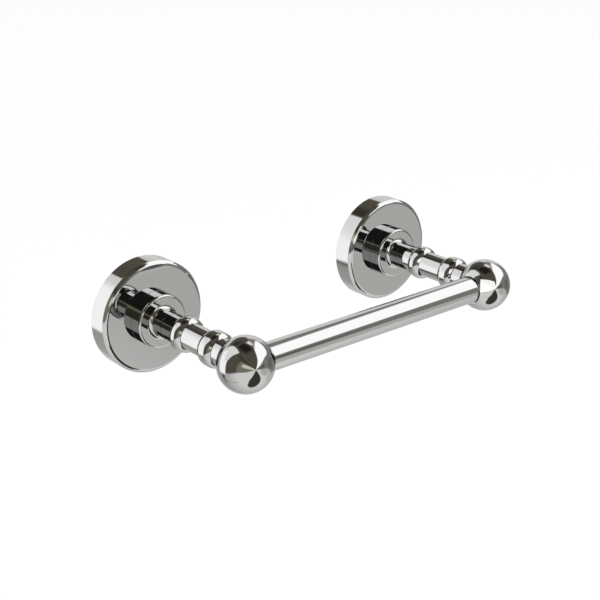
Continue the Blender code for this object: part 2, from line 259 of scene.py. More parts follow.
class Lathe:
    """Turns outlines into smooth closed meshes.

    Attributes:
        merge: distance within which points are merged.
        smooth_below_deg: angle between faces below which they are shaded as one.
        sides: facets in a full turn.
    """

    merge = 0.0005 * MM
    smooth_below_deg = 32.0

    def __init__(self, sides: int) -> None:
        """Set how many facets a full turn has."""
        self.sides = sides

    def turn(self, name: str, outline: Outline, closed: bool) -> bpy.types.Object:
        """Make an object that is turned about local Z.

        Args:
            name: the object's name.
            outline: the outline.
            closed: whether the outline runs back to its start, round a bore.

        Returns:
            The new object, at the origin.
        """
        builder = bmesh.new()
        verts = [builder.verts.new((radius, 0.0, along)) for along, radius in outline.points]
        pairs = list(zip(verts, verts[1:]))
        if closed:
            pairs.append((verts[-1], verts[0]))
        edges = [builder.edges.new(pair) for pair in pairs]
        bmesh.ops.spin(builder, geom=verts + edges, axis=(0.0, 0.0, 1.0), cent=(0.0, 0.0, 0.0),
                       angle=2 * math.pi, steps=self.sides, use_merge=True)
        bmesh.ops.remove_doubles(builder, verts=builder.verts, dist=self.merge)
        bmesh.ops.recalc_face_normals(builder, faces=builder.faces)
        mesh = bpy.data.meshes.new(name)
        builder.to_mesh(mesh)
        builder.free()
        mesh.shade_smooth()
        return added(name, mesh)


def bake(piece: bpy.types.Object) -> None:
    """Turn a piece's modifiers into its own plain mesh.

    Args:
        piece: the piece.
    """
    bpy.context.view_layer.update()
    seen = piece.evaluated_get(bpy.context.evaluated_depsgraph_get())
    mesh = bpy.data.meshes.new_from_object(seen)
    piece.modifiers.clear()
    old = piece.data
    piece.data = mesh
    bpy.data.meshes.remove(old)
    mesh.name = piece.name


class Nodes:
    """A node tree under construction, with short calls for nodes, sums and links."""

    def __init__(self, tree: bpy.types.NodeTree) -> None:
        """Take the tree."""
        self.tree = tree

    @classmethod
    def afresh(cls, owner: bpy.types.Material | bpy.types.World) -> Nodes:
        """Start the nodes of a material or a world from nothing."""
        owner.use_nodes = True
        owner.node_tree.nodes.clear()
        return cls(owner.node_tree)

    def node(self, kind: str, setting: tuple[str, object] | None = None,
             **sockets: object) -> bpy.types.Node:
        """Add a node, set it and fill its sockets.

        Args:
            kind: the node's type.
            setting: name and value of a setting.
            sockets: a socket or a value for each input, by its name with _ for a space.

        Returns:
            The new node.
        """
        node = self.tree.nodes.new(kind)
        if setting:
            setattr(node, *setting)
        for name, value in sockets.items():
            self.fill(node.inputs[name.replace("_", " ")], value)
        return node

    def fill(self, socket: bpy.types.NodeSocket, value: object) -> None:
        """Link a socket to another one, or give it a value.

        Args:
            socket: the input.
            value: a socket or a plain value.
        """
        if isinstance(value, bpy.types.NodeSocket):
            self.tree.links.new(value, socket)
        else:
            socket.default_value = value

    def sum(self, operation: str, first: object, second: object = 0.0) -> bpy.types.NodeSocket:
        """Add a math node and give its result.

        Args:
            operation: what it does.
            first: its first socket or value.
            second: its second one.

        Returns:
            Its output.
        """
        node = self.node("ShaderNodeMath", ("operation", operation))
        self.fill(node.inputs[0], first)
        self.fill(node.inputs[1], second)
        return node.outputs[0]

    def blend(self, share: bpy.types.NodeSocket, first: bpy.types.Node,
              second: bpy.types.Node) -> bpy.types.NodeSocket:
        """Mix two shaders and give the result.

        Args:
            share: how much of the second one.
            first: the first shader.
            second: the second shader.

        Returns:
            The mixed shader.
        """
        node = self.node("ShaderNodeMixShader", Fac=share)
        self.fill(node.inputs[1], first.outputs[0])
        self.fill(node.inputs[2], second.outputs[0])
        return node.outputs[0]


class GeometryTree(Nodes):
    """A Geometry Nodes tree with a geometry input, named numbers and a material."""

    def __init__(self, name: str, inputs: tuple[str, ...]) -> None:
        """Start the tree.

        Args:
            name: the tree's name.
            inputs: names of its number inputs.
        """
        super().__init__(bpy.data.node_groups.new(name, "GeometryNodeTree"))
        interface = self.tree.interface
        for way in ("INPUT", "OUTPUT"):
            interface.new_socket(name="Geometry", in_out=way, socket_type="NodeSocketGeometry")
        kinds = {label: "NodeSocketFloat" for label in inputs} | {"Finish": "NodeSocketMaterial"}
        self.keys = {label: interface.new_socket(name=label, in_out="INPUT", socket_type=kind).identifier
                     for label, kind in kinds.items()}
        self.inputs = self.node("NodeGroupInput").outputs

    def end(self, geometry: bpy.types.NodeSocket) -> None:
        """End the tree in realized instances with the finish on them.

        Args:
            geometry: what the tree has made.
        """
        real = self.node("GeometryNodeRealizeInstances", Geometry=geometry)
        dressed = self.node("GeometryNodeSetMaterial", Geometry=real.outputs[0],
                            Material=self.inputs["Finish"])
        self.node("NodeGroupOutput", Geometry=dressed.outputs[0])

    def apply(self, piece: bpy.types.Object, values: dict[str, object]) -> None:
        """Run the tree on a piece and keep the result as its mesh.

        Args:
            piece: the piece.
            values: a value for each named input.
        """
        modifier = piece.modifiers.new(self.tree.name, "NODES")
        modifier.node_group = self.tree
        for label, value in values.items():
            modifier[self.keys[label]] = value
        bake(piece)


class RidgeTree(GeometryTree):
    """Cuts ridges, such as a thread, a knurl or ribs, into a piece that is turned about its local Z.

    Attributes:
        groove_reach: depth at which a groove's sides would meet, in depths of the groove.
        slope: how steep those sides are.
        least_radius: radius inside which nothing moves much.
    """

    groove_reach = 1.12
    slope = 1.25
    least_radius = 0.01 * MM

    def __init__(self) -> None:
        """Build the tree."""
        super().__init__("cut_ridges", ("Ridges", "Turns Per Metre", "Depth", "From", "To", "Above"))
        place = self.node("ShaderNodeSeparateXYZ",
                          Vector=self.node("GeometryNodeInputPosition").outputs[0]).outputs
        flat = self.node("ShaderNodeCombineXYZ", X=place["X"], Y=place["Y"]).outputs[0]
        length = self.node("ShaderNodeVectorMath", ("operation", "LENGTH"))
        self.fill(length.inputs[0], flat)
        radius = length.outputs["Value"]
        angle = self.sum("DIVIDE", self.sum("ARCTAN2", place["Y"], place["X"]), math.tau)
        wound = self.sum("MULTIPLY", place["Z"], self.inputs["Turns Per Metre"])
        phase = self.sum("FRACT", self.sum("SUBTRACT", wound,
                                           self.sum("MULTIPLY", angle, self.inputs["Ridges"])))
        crest = self.sum("ABSOLUTE", self.sum("SUBTRACT", self.sum("MULTIPLY", phase, 2.0), 1.0))
        groove = self.sum("SUBTRACT", self.groove_reach, self.sum("MULTIPLY", crest, self.slope))
        groove.node.use_clamp = True
        ends = self.sum("MINIMUM", self.sum("SUBTRACT", place["Z"], self.inputs["From"]),
                        self.sum("SUBTRACT", self.inputs["To"], place["Z"]))
        band = self.sum("DIVIDE", ends, self.inputs["Depth"])
        band.node.use_clamp = True
        outside = self.sum("GREATER_THAN", radius, self.inputs["Above"])
        depth = self.sum("MULTIPLY", self.sum("MULTIPLY", groove, band),
                         self.sum("MULTIPLY", outside, self.inputs["Depth"]))
        inward = self.sum("DIVIDE", self.sum("MULTIPLY", depth, -1.0),
                          self.sum("MAXIMUM", radius, self.least_radius))
        move = self.node("ShaderNodeVectorMath", ("operation", "SCALE"), Scale=inward)
        self.fill(move.inputs[0], flat)
        moved = self.node("GeometryNodeSetPosition", Geometry=self.inputs["Geometry"],
                          Offset=move.outputs["Vector"])
        self.end(moved.outputs[0])


class CoilTree(GeometryTree):
    """Winds a coil spring about local Z, its turns closer together towards both ends.

    Attributes:
        points: points along the wire.
        wire_sides: facets round the wire.
    """

    points = 900
    wire_sides = 14

    def __init__(self) -> None:
        """Build the tree."""
        super().__init__("wind_coil", ("Wire Radius", "Coil Radius", "Length", "Turns", "Closing"))
        line = self.node("GeometryNodeCurvePrimitiveLine")
        fine = self.node("GeometryNodeResampleCurve", Curve=line.outputs[0])
        fine.inputs["Count"].default_value = self.points
        share = self.node("GeometryNodeSplineParameter").outputs["Factor"]
        angle = self.sum("MULTIPLY", self.sum("MULTIPLY", share, self.inputs["Turns"]), math.tau)
        swing = self.sum("SINE", self.sum("MULTIPLY", share, math.tau))
        eased = self.sum("SUBTRACT", share, self.sum("MULTIPLY", swing, self.inputs["Closing"]))
        span = self.sum("SUBTRACT", self.inputs["Length"],
                        self.sum("MULTIPLY", self.inputs["Wire Radius"], 2.0))
        place = self.node(
            "ShaderNodeCombineXYZ",
            X=self.sum("MULTIPLY", self.sum("COSINE", angle), self.inputs["Coil Radius"]),
            Y=self.sum("MULTIPLY", self.sum("SINE", angle), self.inputs["Coil Radius"]),
            Z=self.sum("ADD", self.sum("MULTIPLY", eased, span), self.inputs["Wire Radius"]))
        wound = self.node("GeometryNodeSetPosition", Geometry=fine.outputs[0],
                          Position=place.outputs[0])
        ring = self.node("GeometryNodeCurvePrimitiveCircle", Radius=self.inputs["Wire Radius"])
        ring.inputs["Resolution"].default_value = self.wire_sides
        wire = self.node("GeometryNodeCurveToMesh", Curve=wound.outputs[0],
                         Profile_Curve=ring.outputs["Curve"], Fill_Caps=True)
        smooth = self.node("GeometryNodeSetShadeSmooth", Geometry=wire.outputs[0])
        self.end(smooth.outputs[0])


@dataclass(frozen=True)
class Ridges:
    """Ridges cut into a turned piece.

    Attributes:
        start: where they start along the turning axis.
        end: where they end.
        depth: how deep they are cut.
        above: radius above which the surface is cut.
        count: how many there are round the axis.
        per_metre: how many turns they wind in a metre, 0 for straight ones.
    """

    start: float
    end: float
    depth: float
    above: float
    count: float = 1.0
    per_metre: float = 0.0


class Facets(IntEnum):
    """How many facets a full turn of a piece has."""

    SMALL = 96
    TUBE = 128
    WIDE = 144
    ROSE = 160
    KNURLED = 192


@dataclass(frozen=True)
class Stock:
    """The CAD piece that a turned piece stands for, seen along its axis.

    Attributes:
        start: where it starts along the axis.
        end: where it ends.
        radius: its radius.
        placement: takes local Z to the axis.
    """

    start: float
    end: float
    radius: float
    placement: Matrix

    @classmethod
    def of(cls, node: str, axis: Axis) -> Stock:
        """Read a CAD piece.

        Args:
            node: its node.
            axis: the way that its axis points. A piece in the bar starts at 0, and another one at its
                distance from the wall or from the level of the bar.

        Returns:
            Its measures.
        """
        low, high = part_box(node)
        x, y, z = ((low[way] + high[way]) / 2 for way in range(3))
        if axis is Axis.RIGHT:
            return cls(0.0, high.x - low.x, (high.z - low.z) / 2, axis.matrix(Vector((low.x, y, z))))
        radius = (high.x - low.x) / 2
        if axis is Axis.DOWN:
            return cls(-high.z, -low.z, radius, axis.matrix(Vector((x, y, 0.0))))
        return cls(-high.y, -low.y, radius, axis.matrix(Vector((x, 0.0, 0.0))))


def loft(name: str, levels: list[tuple[float, list[Point]]], placement: Matrix) -> bpy.types.Object:
    """Join loops of equal length into one closed body.

    Args:
        name: the object's name.
        levels: (place along local Z, loop) from one end to the other.
        placement: takes the body to its place.

    Returns:
        The new object.
    """
    builder = bmesh.new()
    rings = [[builder.verts.new((u, v, along)) for u, v in loop] for along, loop in levels]
    for low, high in zip(rings, rings[1:]):
        for here in range(len(low)):
            after = (here + 1) % len(low)
            builder.faces.new((low[here], low[after], high[after], high[here]))
    builder.faces.new(rings[0][::-1])
    builder.faces.new(rings[-1])
    bmesh.ops.recalc_face_normals(builder, faces=builder.faces)
    mesh = bpy.data.meshes.new(name)
    builder.to_mesh(mesh)
    builder.free()
    mesh.transform(placement)
    return added(name, mesh)


def stadium(radius: float, length: float, steps: int = 24) -> list[Point]:
    """Give a slot's loop: two half rounds joined by straight sides.

    Args:
        radius: half the slot's width.
        length: its length.
        steps: facets of a half round.

    Returns:
        The loop.
    """
    half = length / 2 - radius
    loop = []
    for side, first in ((1, -90.0), (-1, 90.0)):
        for step in range(steps + 1):
            angle = math.radians(first + 180.0 * step / steps)
            loop.append((side * half + radius * math.cos(angle), radius * math.sin(angle)))
    return loop


def polygon(radius: float, sides: int) -> list[Point]:
    """Give a regular loop by the radius of its corners."""
    return [(radius * math.cos(math.tau * side / sides), radius * math.sin(math.tau * side / sides))
            for side in range(sides)]


def carve(piece: bpy.types.Object, *tools: bpy.types.Object) -> None:
    """Cut closed bodies out of a piece and remove them.

    Args:
        piece: the piece.
        tools: the closed bodies.
    """
    for tool in tools:
        cut = piece.modifiers.new(tool.name, "BOOLEAN")
        cut.operation = "DIFFERENCE"
        cut.solver = "EXACT"
        cut.object = tool
    bake(piece)
    for tool in tools:
        bpy.data.objects.remove(tool, do_unlink=True)
    piece.data.shade_smooth()
    piece.data.set_sharp_from_angle(angle=math.radians(Lathe.smooth_below_deg))


class Grain(Enum):
    """The pattern of a finish's fine grain."""

    CLOUDS = "ShaderNodeTexNoise"
    CELLS = "ShaderNodeTexVoronoi"


@dataclass(frozen=True)
class Finish:
    """A surface finish with slow patches of wear and a fine grain.

    Attributes:
        name: the material's name.
        slot: the record's material slot.
        colour: its colour.
        patch_colour: its colour in the patches.
        metallic: 1 for metal, 0 for plastic.
        roughness: lowest and highest roughness.
        patches_per_metre: how many patches a metre has.
        grain: pattern of the fine grain.
        grains_per_metre: how many grains a metre has.
        grain_depth: height of the grain.
        patch_detail: how ragged the patches are.
        patch_range: levels of the patches at which the roughness is lowest and highest.
    """

    name: str
    slot: str
    colour: Colour
    patch_colour: Colour
    metallic: float
    roughness: tuple[float, float]
    patches_per_metre: float
    grain: Grain
    grains_per_metre: float
    grain_depth: float
    patch_detail: float = 3.0
    patch_range: tuple[float, float] = (0.35, 0.7)

    def build(self) -> bpy.types.Material:
        """Make the material."""
        material = bpy.data.materials.new(self.name)
        material.use_nodes = True
        nodes = Nodes(material.node_tree)
        place = nodes.node("ShaderNodeTexCoord").outputs["Object"]
        patches = nodes.node("ShaderNodeTexNoise", Vector=place, Scale=self.patches_per_metre,
                             Detail=self.patch_detail).outputs["Fac"]
        spread = nodes.node("ShaderNodeMapRange", Value=patches,
                            From_Min=self.patch_range[0], From_Max=self.patch_range[1],
                            To_Min=self.roughness[0], To_Max=self.roughness[1])
        tint = nodes.node("ShaderNodeMix", ("data_type", "RGBA"), Factor=patches,
                          A=(*self.colour, 1.0), B=(*self.patch_colour, 1.0))
        grain = nodes.node(self.grain.value, Vector=place, Scale=self.grains_per_metre)
        relief = nodes.node("ShaderNodeBump", Height=grain.outputs[0], Distance=self.grain_depth)
        shader = material.node_tree.nodes["Principled BSDF"].inputs
        nodes.fill(shader["Metallic"], self.metallic)
        nodes.fill(shader["Roughness"], spread.outputs["Result"])
        nodes.fill(shader["Base Color"], tint.outputs["Result"])
        nodes.fill(shader["Normal"], relief.outputs["Normal"])
        return material


CHROME = Finish(
    name="polished_chrome", slot="polished_chrome", colour=(0.57, 0.572, 0.568),
    patch_colour=(0.562, 0.565, 0.562), metallic=1.0, roughness=(0.02, 0.05), patches_per_metre=60.0,
    grain=Grain.CLOUDS, grains_per_metre=500.0, grain_depth=0.0002 * MM)
STEEL = Finish(
    name="zinc_plated_steel", slot="plated_steel", colour=(0.55, 0.56, 0.57),
    patch_colour=(0.48, 0.47, 0.43), metallic=1.0, roughness=(0.24, 0.42), patches_per_metre=130.0,
    grain=Grain.CELLS, grains_per_metre=2600.0, grain_depth=0.006 * MM)
NYLON = Finish(
    name="moulded_black_nylon", slot="black_nylon", colour=(0.045, 0.045, 0.047),
    patch_colour=(0.06, 0.06, 0.06), metallic=0.0, roughness=(0.38, 0.56), patches_per_metre=220.0,
    grain=Grain.CLOUDS, grains_per_metre=3200.0, grain_depth=0.02 * MM)


class Workshop:
    """Turns, carves and finishes pieces, and hangs them on the holder's bodies."""

    def __init__(self) -> None:
        """Make the finishes and the node trees that the pieces share."""
        self.materials = {finish.slot: finish.build() for finish in (CHROME, STEEL, NYLON)}
        self.ridge_tree = RidgeTree()
        self.coil_tree = CoilTree()

    def turn(self, name: str, outline: Outline, placement: Matrix, sides: int, closed: bool = False,
             ridges: tuple[Ridges, ...] = ()) -> bpy.types.Object:
        """Turn a piece, with ridges cut into it where it has them.

        Args:
            name: the piece's name.
            outline: its outline.
            placement: takes the turning axis, local Z, to its place.
            sides: facets in a full turn.
            closed: whether the outline runs back to its start, round a bore.
            ridges: the ridges.

        Returns:
            The new piece, at the origin.
        """
        piece = Lathe(sides).turn(name, outline, closed)
        for cut in ridges:
            self.ridge_tree.apply(piece, {
                "Ridges": cut.count, "Turns Per Metre": cut.per_metre, "Depth": cut.depth,
                "From": cut.start, "To": cut.end, "Above": cut.above})
        piece.data.transform(placement)
        piece.data.set_sharp_from_angle(angle=math.radians(Lathe.smooth_below_deg))
        return piece

    def dress(self, piece: bpy.types.Object, finish: Finish, body: str, node: str) -> None:
        """Give a new piece its finish and hang it on its body in place of its CAD node.

        Args:
            piece: the new piece.
            finish: its finish.
            body: the CAD body that it moves with.
            node: the CAD node that it stands for.
        """
        piece.data.materials.clear()
        piece.data.materials.append(self.materials[finish.slot])
        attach(piece, body)
        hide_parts(node)
        LOG.info("%s: %d faces, on %s", piece.name, len(piece.data.polygons), body)


@dataclass
class EndPiece:
    """A sub-assembly at one end of the holder.

    Attributes:
        side: which end it is at.
    """

    side: Side

    def own(self, piece: str) -> str:
        """Give the name of this end's piece."""
        return f"{self.side.value}_{piece}"

    def round_box(self, piece: str) -> tuple[Vector, float, float]:
        """Read this end's CAD piece, which is round about the post's axis.

        Args:
            piece: the piece.

        Returns:
            The post's axis where it meets the wall, the piece's radius and its length.
        """
        low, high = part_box(self.own(piece))
        return Vector(((low.x + high.x) / 2, 0.0, 0.0)), (high.x - low.x) / 2, high.y - low.y


@dataclass
class Rose(EndPiece):
    """The round cover cup against the wall, with its clamping screw's hole underneath.

    Attributes:
        wall: thickness of its metal.
        border: the bevels between face and rim, from the face on: where each one starts, as
            (depth behind the face, distance inside the rim), with the rim's own start last.
        border_edge: radius between the bevels.
        fine_edge: radius of its other edges.
        screw_hole: radius of the hole for the post's screw.
        inside_edge: fillet inside the cup.
        grub_hole: radius of the hole for the grub screw.
        hole_edge: width of that hole's chamfer.
        hole_facets: number of its facets.
    """

    wall: float = 1.6 * MM
    border: tuple[Point, ...] = ((0.0, 2.12 * MM), (0.15 * MM, 1.52 * MM), (0.36 * MM, 1.12 * MM),
                                 (0.68 * MM, 0.76 * MM), (1.4 * MM, 0.14 * MM), (1.54 * MM, 0.0))
    border_edge: float = 0.3 * MM
    fine_edge: float = 0.12 * MM
    screw_hole: float = 3.3 * MM
    inside_edge: float = 0.5 * MM
    grub_hole: float = 2.3 * MM
    hole_edge: float = 0.25 * MM
    hole_facets: int = 48

    def __post_init__(self) -> None:
        """Read the outer sizes off the CAD piece."""
        self.centre, self.radius, self.depth = self.round_box("rose")

    def outline(self) -> Outline:
        """Give the cup's outline, round its rim, border, face and inside."""
        inside = self.radius - self.wall
        face_back = self.depth - self.wall
        bevels = [Corner(self.depth - down, self.radius - back, self.border_edge)
                  for down, back in reversed(self.border)]
        return Outline().corners([
            Corner(0.0, inside + self.wall / 2),
            Corner(0.0, self.radius, self.fine_edge),
            *bevels,
            Corner(self.depth, self.screw_hole),
            Corner(face_back, self.screw_hole),
            Corner(face_back, inside, self.inside_edge),
            Corner(0.0, inside, self.fine_edge),
            Corner(0.0, inside + self.wall / 4),
        ])

    def build(self, shop: Workshop) -> None:
        """Make the cup and drill its hole.

        Args:
            shop: makes and dresses the pieces.
        """
        placement = Axis.OUT_OF_WALL.matrix(self.centre)
        cup = shop.turn(self.own("rose_cup"), self.outline(), placement, Facets.ROSE, closed=True)
        grub_low, grub_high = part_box(self.own("rose_grub_screw"))
        start = Vector((self.centre.x, (grub_low.y + grub_high.y) / 2, 0.0))
        plain = polygon(self.grub_hole, self.hole_facets)
        wide = polygon(self.grub_hole + 2 * self.hole_edge, self.hole_facets)
        drill = loft("grub_hole", [
            (self.radius - 2 * self.wall, plain), (self.radius - self.hole_edge, plain),
            (self.radius + self.hole_edge, wide)], Axis.DOWN.matrix(start))
        carve(cup, drill)
        shop.dress(cup, CHROME, BRACKETS, self.own("rose"))


@dataclass
class WallPlate(EndPiece):
    """The pressed plate that the wall screws hold.

    Attributes:
        thickness: thickness of its sheet.
        bend: outer radius of the bend to its rim.
        hole: radius of its middle hole.
        edge: radius of its punched edges.
        slot_radius: half the width of a slot.
        slot_length: length of a slot.
        slot_spacing: distance between the slots' middles.
        groove_radius: radius of the pressed groove round the slots.
        groove_width: width of that groove.
        groove_depth: depth of that groove.
        seam_share: where the outline ends inside the middle hole, as a share of the thickness.
    """

    thickness: float = 1.6 * MM
    bend: float = 2.0 * MM
    hole: float = 7.0 * MM
    edge: float = 0.2 * MM
    slot_radius: float = 2.3 * MM
    slot_length: float = 9.0 * MM
    slot_spacing: float = 30.0 * MM
    groove_radius: float = 20.6 * MM
    groove_width: float = 0.9 * MM
    groove_depth: float = 0.3 * MM
    seam_share: float = 0.6

    def build(self, shop: Workshop) -> None:
        """Turn the plate and punch its slots.

        Args:
            shop: makes and dresses the pieces.
        """
        centre, radius, rim = self.round_box("wall_plate")
        groove_in = self.groove_radius - self.groove_width / 2
        outline = Outline().corners([
            Corner(self.thickness / 2, self.hole),
            Corner(0.0, self.hole, self.edge),
            Corner(0.0, radius, self.bend),
            Corner(rim, radius, self.edge),
            Corner(rim, radius - self.thickness, self.edge),
            Corner(self.thickness, radius - self.thickness, self.bend - self.thickness),
            Corner(self.thickness, groove_in + self.groove_width, self.edge / 2),
            Corner(self.thickness - self.groove_depth, groove_in + self.groove_width / 2, self.edge),
            Corner(self.thickness, groove_in, self.edge / 2),
            Corner(self.thickness, self.hole, self.edge),
            Corner(self.thickness * self.seam_share, self.hole),
        ])
        plate = shop.turn(self.own("slotted_wall_plate"), outline,
                          Axis.OUT_OF_WALL.matrix(centre), Facets.WIDE, closed=True)
        tools = []
        for direction in (-1.0, 1.0):
            middle = centre + Vector((direction * self.slot_spacing / 2, 0.0, 0.0))
            wide = stadium(self.slot_radius + 2 * self.edge, self.slot_length + 4 * self.edge)
            plain = stadium(self.slot_radius, self.slot_length)
            tools.append(loft("slot_punch", [
                (-self.edge, wide), (self.edge, plain), (self.thickness - self.edge, plain),
                (self.thickness + self.edge, wide)], Axis.OUT_OF_WALL.matrix(middle)))
        carve(plate, *tools)
        shop.dress(plate, STEEL, BRACKETS, self.own("wall_plate"))


@dataclass
class PostFixing(EndPiece):
    """The cap screw that pulls the post against the rose from behind, and its washer.

    Attributes:
        head_height: height of the screw's head.
        shank: radius over the thread.
        pitch: the thread's pitch.
        thread_depth: the thread's depth.
        plain_length: plain stretch of the shank under the head.
        knurls: number of ridges round the head.
        knurl_depth: their depth.
        head_rings: rings of the mesh along the head.
        pitch_rings: rings of the mesh in one pitch.
        socket: radius of the hexagon socket's corners.
        socket_depth: its depth.
        edge: radius of the head's edges.
        washer_hole: radius of the washer's hole.
        washer_edge: radius of the washer's rolled edge.
    """

    head_height: float = 4.0 * MM
    shank: float = 3.0 * MM
    pitch: float = 1.0 * MM
    thread_depth: float = 0.55 * MM
    plain_length: float = 2.0 * MM
    knurls: int = 32
    knurl_depth: float = 0.22 * MM
    head_rings: int = 12
    pitch_rings: int = 8
    socket: float = 2.9 * MM
    socket_depth: float = 2.4 * MM
    edge: float = 0.4 * MM
    washer_hole: float = 3.3 * MM
    washer_edge: float = 0.3 * MM

    def build(self, shop: Workshop) -> None:
        """Make both pieces.

        Args:
            shop: makes and dresses the pieces.
        """
        self._screw(shop)
        self._washer(shop)

    def _screw(self, shop: Workshop) -> None:
        """Make the cap screw, with its knurl, thread and socket.

        Args:
            shop: makes and dresses the pieces.
        """
        stock = Stock.of(self.own("post_screw"), Axis.OUT_OF_WALL)
        back, tip, head = stock.start, stock.end, stock.radius
        seat = back + self.head_height
        shape = Outline().corners([Corner(back, 0.0), Corner(back, head, self.edge),
                                   Corner(back + 2 * self.edge, head)])
        shape.run(back + 2 * self.edge, seat - self.edge, head, self.head_height / self.head_rings)
        shape.corners([Corner(seat - self.edge, head), Corner(seat, head, self.edge / 3),
                       Corner(seat, self.shank, self.edge / 2), Corner(seat + self.edge, self.shank)])
        shape.run(seat + self.edge, tip - self.edge, self.shank, self.pitch / self.pitch_rings)
        shape.add((tip, self.shank - self.thread_depth), (tip, 0.0))
        knurl = Ridges(back + 2 * self.edge, seat - self.edge, self.knurl_depth, head * RIB_FOOT_SHARE,
                       self.knurls)
        thread = Ridges(seat + self.plain_length, tip + self.pitch, self.thread_depth,
                        self.shank * THREAD_CORE_SHARE, per_metre=1 / self.pitch)
        screw = shop.turn(self.own("cap_screw"), shape, stock.placement, Facets.KNURLED,
                          ridges=(knurl, thread))
        wide, plain = polygon(self.socket + self.edge, HEXAGON), polygon(self.socket, HEXAGON)
        carve(screw, loft("socket_broach", [
            (back - self.edge, wide), (back + self.edge, plain), (back + self.socket_depth, plain)],
            stock.placement))
        shop.dress(screw, STEEL, BRACKETS, self.own("post_screw"))

    def _washer(self, shop: Workshop) -> None:
        """Make the washer.

        Args:
            shop: makes and dresses the pieces.
        """
        ring = Stock.of(self.own("post_washer"), Axis.OUT_OF_WALL)
        shape = Outline().corners([
            Corner((ring.start + ring.end) / 2, self.washer_hole),
            Corner(ring.start, self.washer_hole, self.washer_edge / 3),
            Corner(ring.start, ring.radius, self.washer_edge),
            Corner(ring.end, ring.radius, self.washer_edge / 3),
            Corner(ring.end, self.washer_hole, self.washer_edge / 2),
            Corner((ring.start + 2 * ring.end) / 3, self.washer_hole)])
        washer = shop.turn(self.own("screw_washer"), shape, ring.placement, Facets.SMALL, closed=True)
        shop.dress(washer, STEEL, BRACKETS, self.own("post_washer"))


@dataclass(frozen=True)
class Thread:
    """The thread of a headless screw or a stud.

    Attributes:
        pitch: its pitch.
        depth: its depth.
        chamfer: chamfer at both ends.
        rings: rings of the mesh in one pitch.
    """

    pitch: float
    depth: float
    chamfer: float
    rings: int

    def rod(self, shop: Workshop, name: str, stock: Stock, first_chamfer: float) -> bpy.types.Object:
        """Turn a rod that is threaded from end to end.

        Args:
            shop: the workshop.
            name: the rod's name.
            stock: the CAD piece that it stands for.
            first_chamfer: how much the radius is less at its first end.

        Returns:
            The new piece.
        """
        start, end, radius = stock.start, stock.end, stock.radius
        shape = Outline().add((start, 0.0), (start, radius - first_chamfer))
        shape.run(start + self.chamfer, end - self.chamfer, radius, self.pitch / self.rings)
        shape.add((end, radius - self.chamfer), (end, 0.0))
        cut = Ridges(start, end, self.depth, radius * THREAD_CORE_SHARE, per_metre=1 / self.pitch)
        return shop.turn(name, shape, stock.placement, Facets.SMALL, ridges=(cut,))


@dataclass
class GrubScrew(EndPiece):
    """The screw under the rim that clamps the rose to the wall plate.

    Attributes:
        thread: its thread.
        socket: radius of the hexagon socket's corners.
        socket_depth: its depth.
    """

    thread: Thread = Thread(pitch=0.7 * MM, depth=0.36 * MM, chamfer=0.35 * MM, rings=10)
    socket: float = 1.15 * MM
    socket_depth: float = 1.5 * MM

    def build(self, shop: Workshop) -> None:
        """Make the screw.

        Args:
            shop: makes and dresses the pieces.
        """
        chamfer = self.thread.chamfer
        stock = Stock.of(self.own("rose_grub_screw"), Axis.DOWN)
        screw = self.thread.rod(shop, self.own("clamp_grub_screw"), stock, 2 * chamfer)
        wide, plain = polygon(self.socket + chamfer, HEXAGON), polygon(self.socket, HEXAGON)
        carve(screw, loft("socket_broach", [
            (stock.end - self.socket_depth, plain), (stock.end - chamfer / 2, plain),
            (stock.end + chamfer / 2, wide)], stock.placement))
        shop.dress(screw, STEEL, BRACKETS, self.own("rose_grub_screw"))


@dataclass
class BallStud(EndPiece):
    """The threaded stud between post and ball.

    Attributes:
        thread: its thread.
    """

    thread: Thread = Thread(pitch=0.8 * MM, depth=0.45 * MM, chamfer=0.4 * MM, rings=8)

    def build(self, shop: Workshop) -> None:
        """Make the stud.

        Args:
            shop: makes and dresses the pieces.
        """
        stock = Stock.of(self.own("ball_stud"), Axis.OUT_OF_WALL)
        stud = self.thread.rod(shop, self.own("threaded_stud"), stock, self.thread.chamfer)
        shop.dress(stud, STEEL, BRACKETS, self.own("ball_stud"))


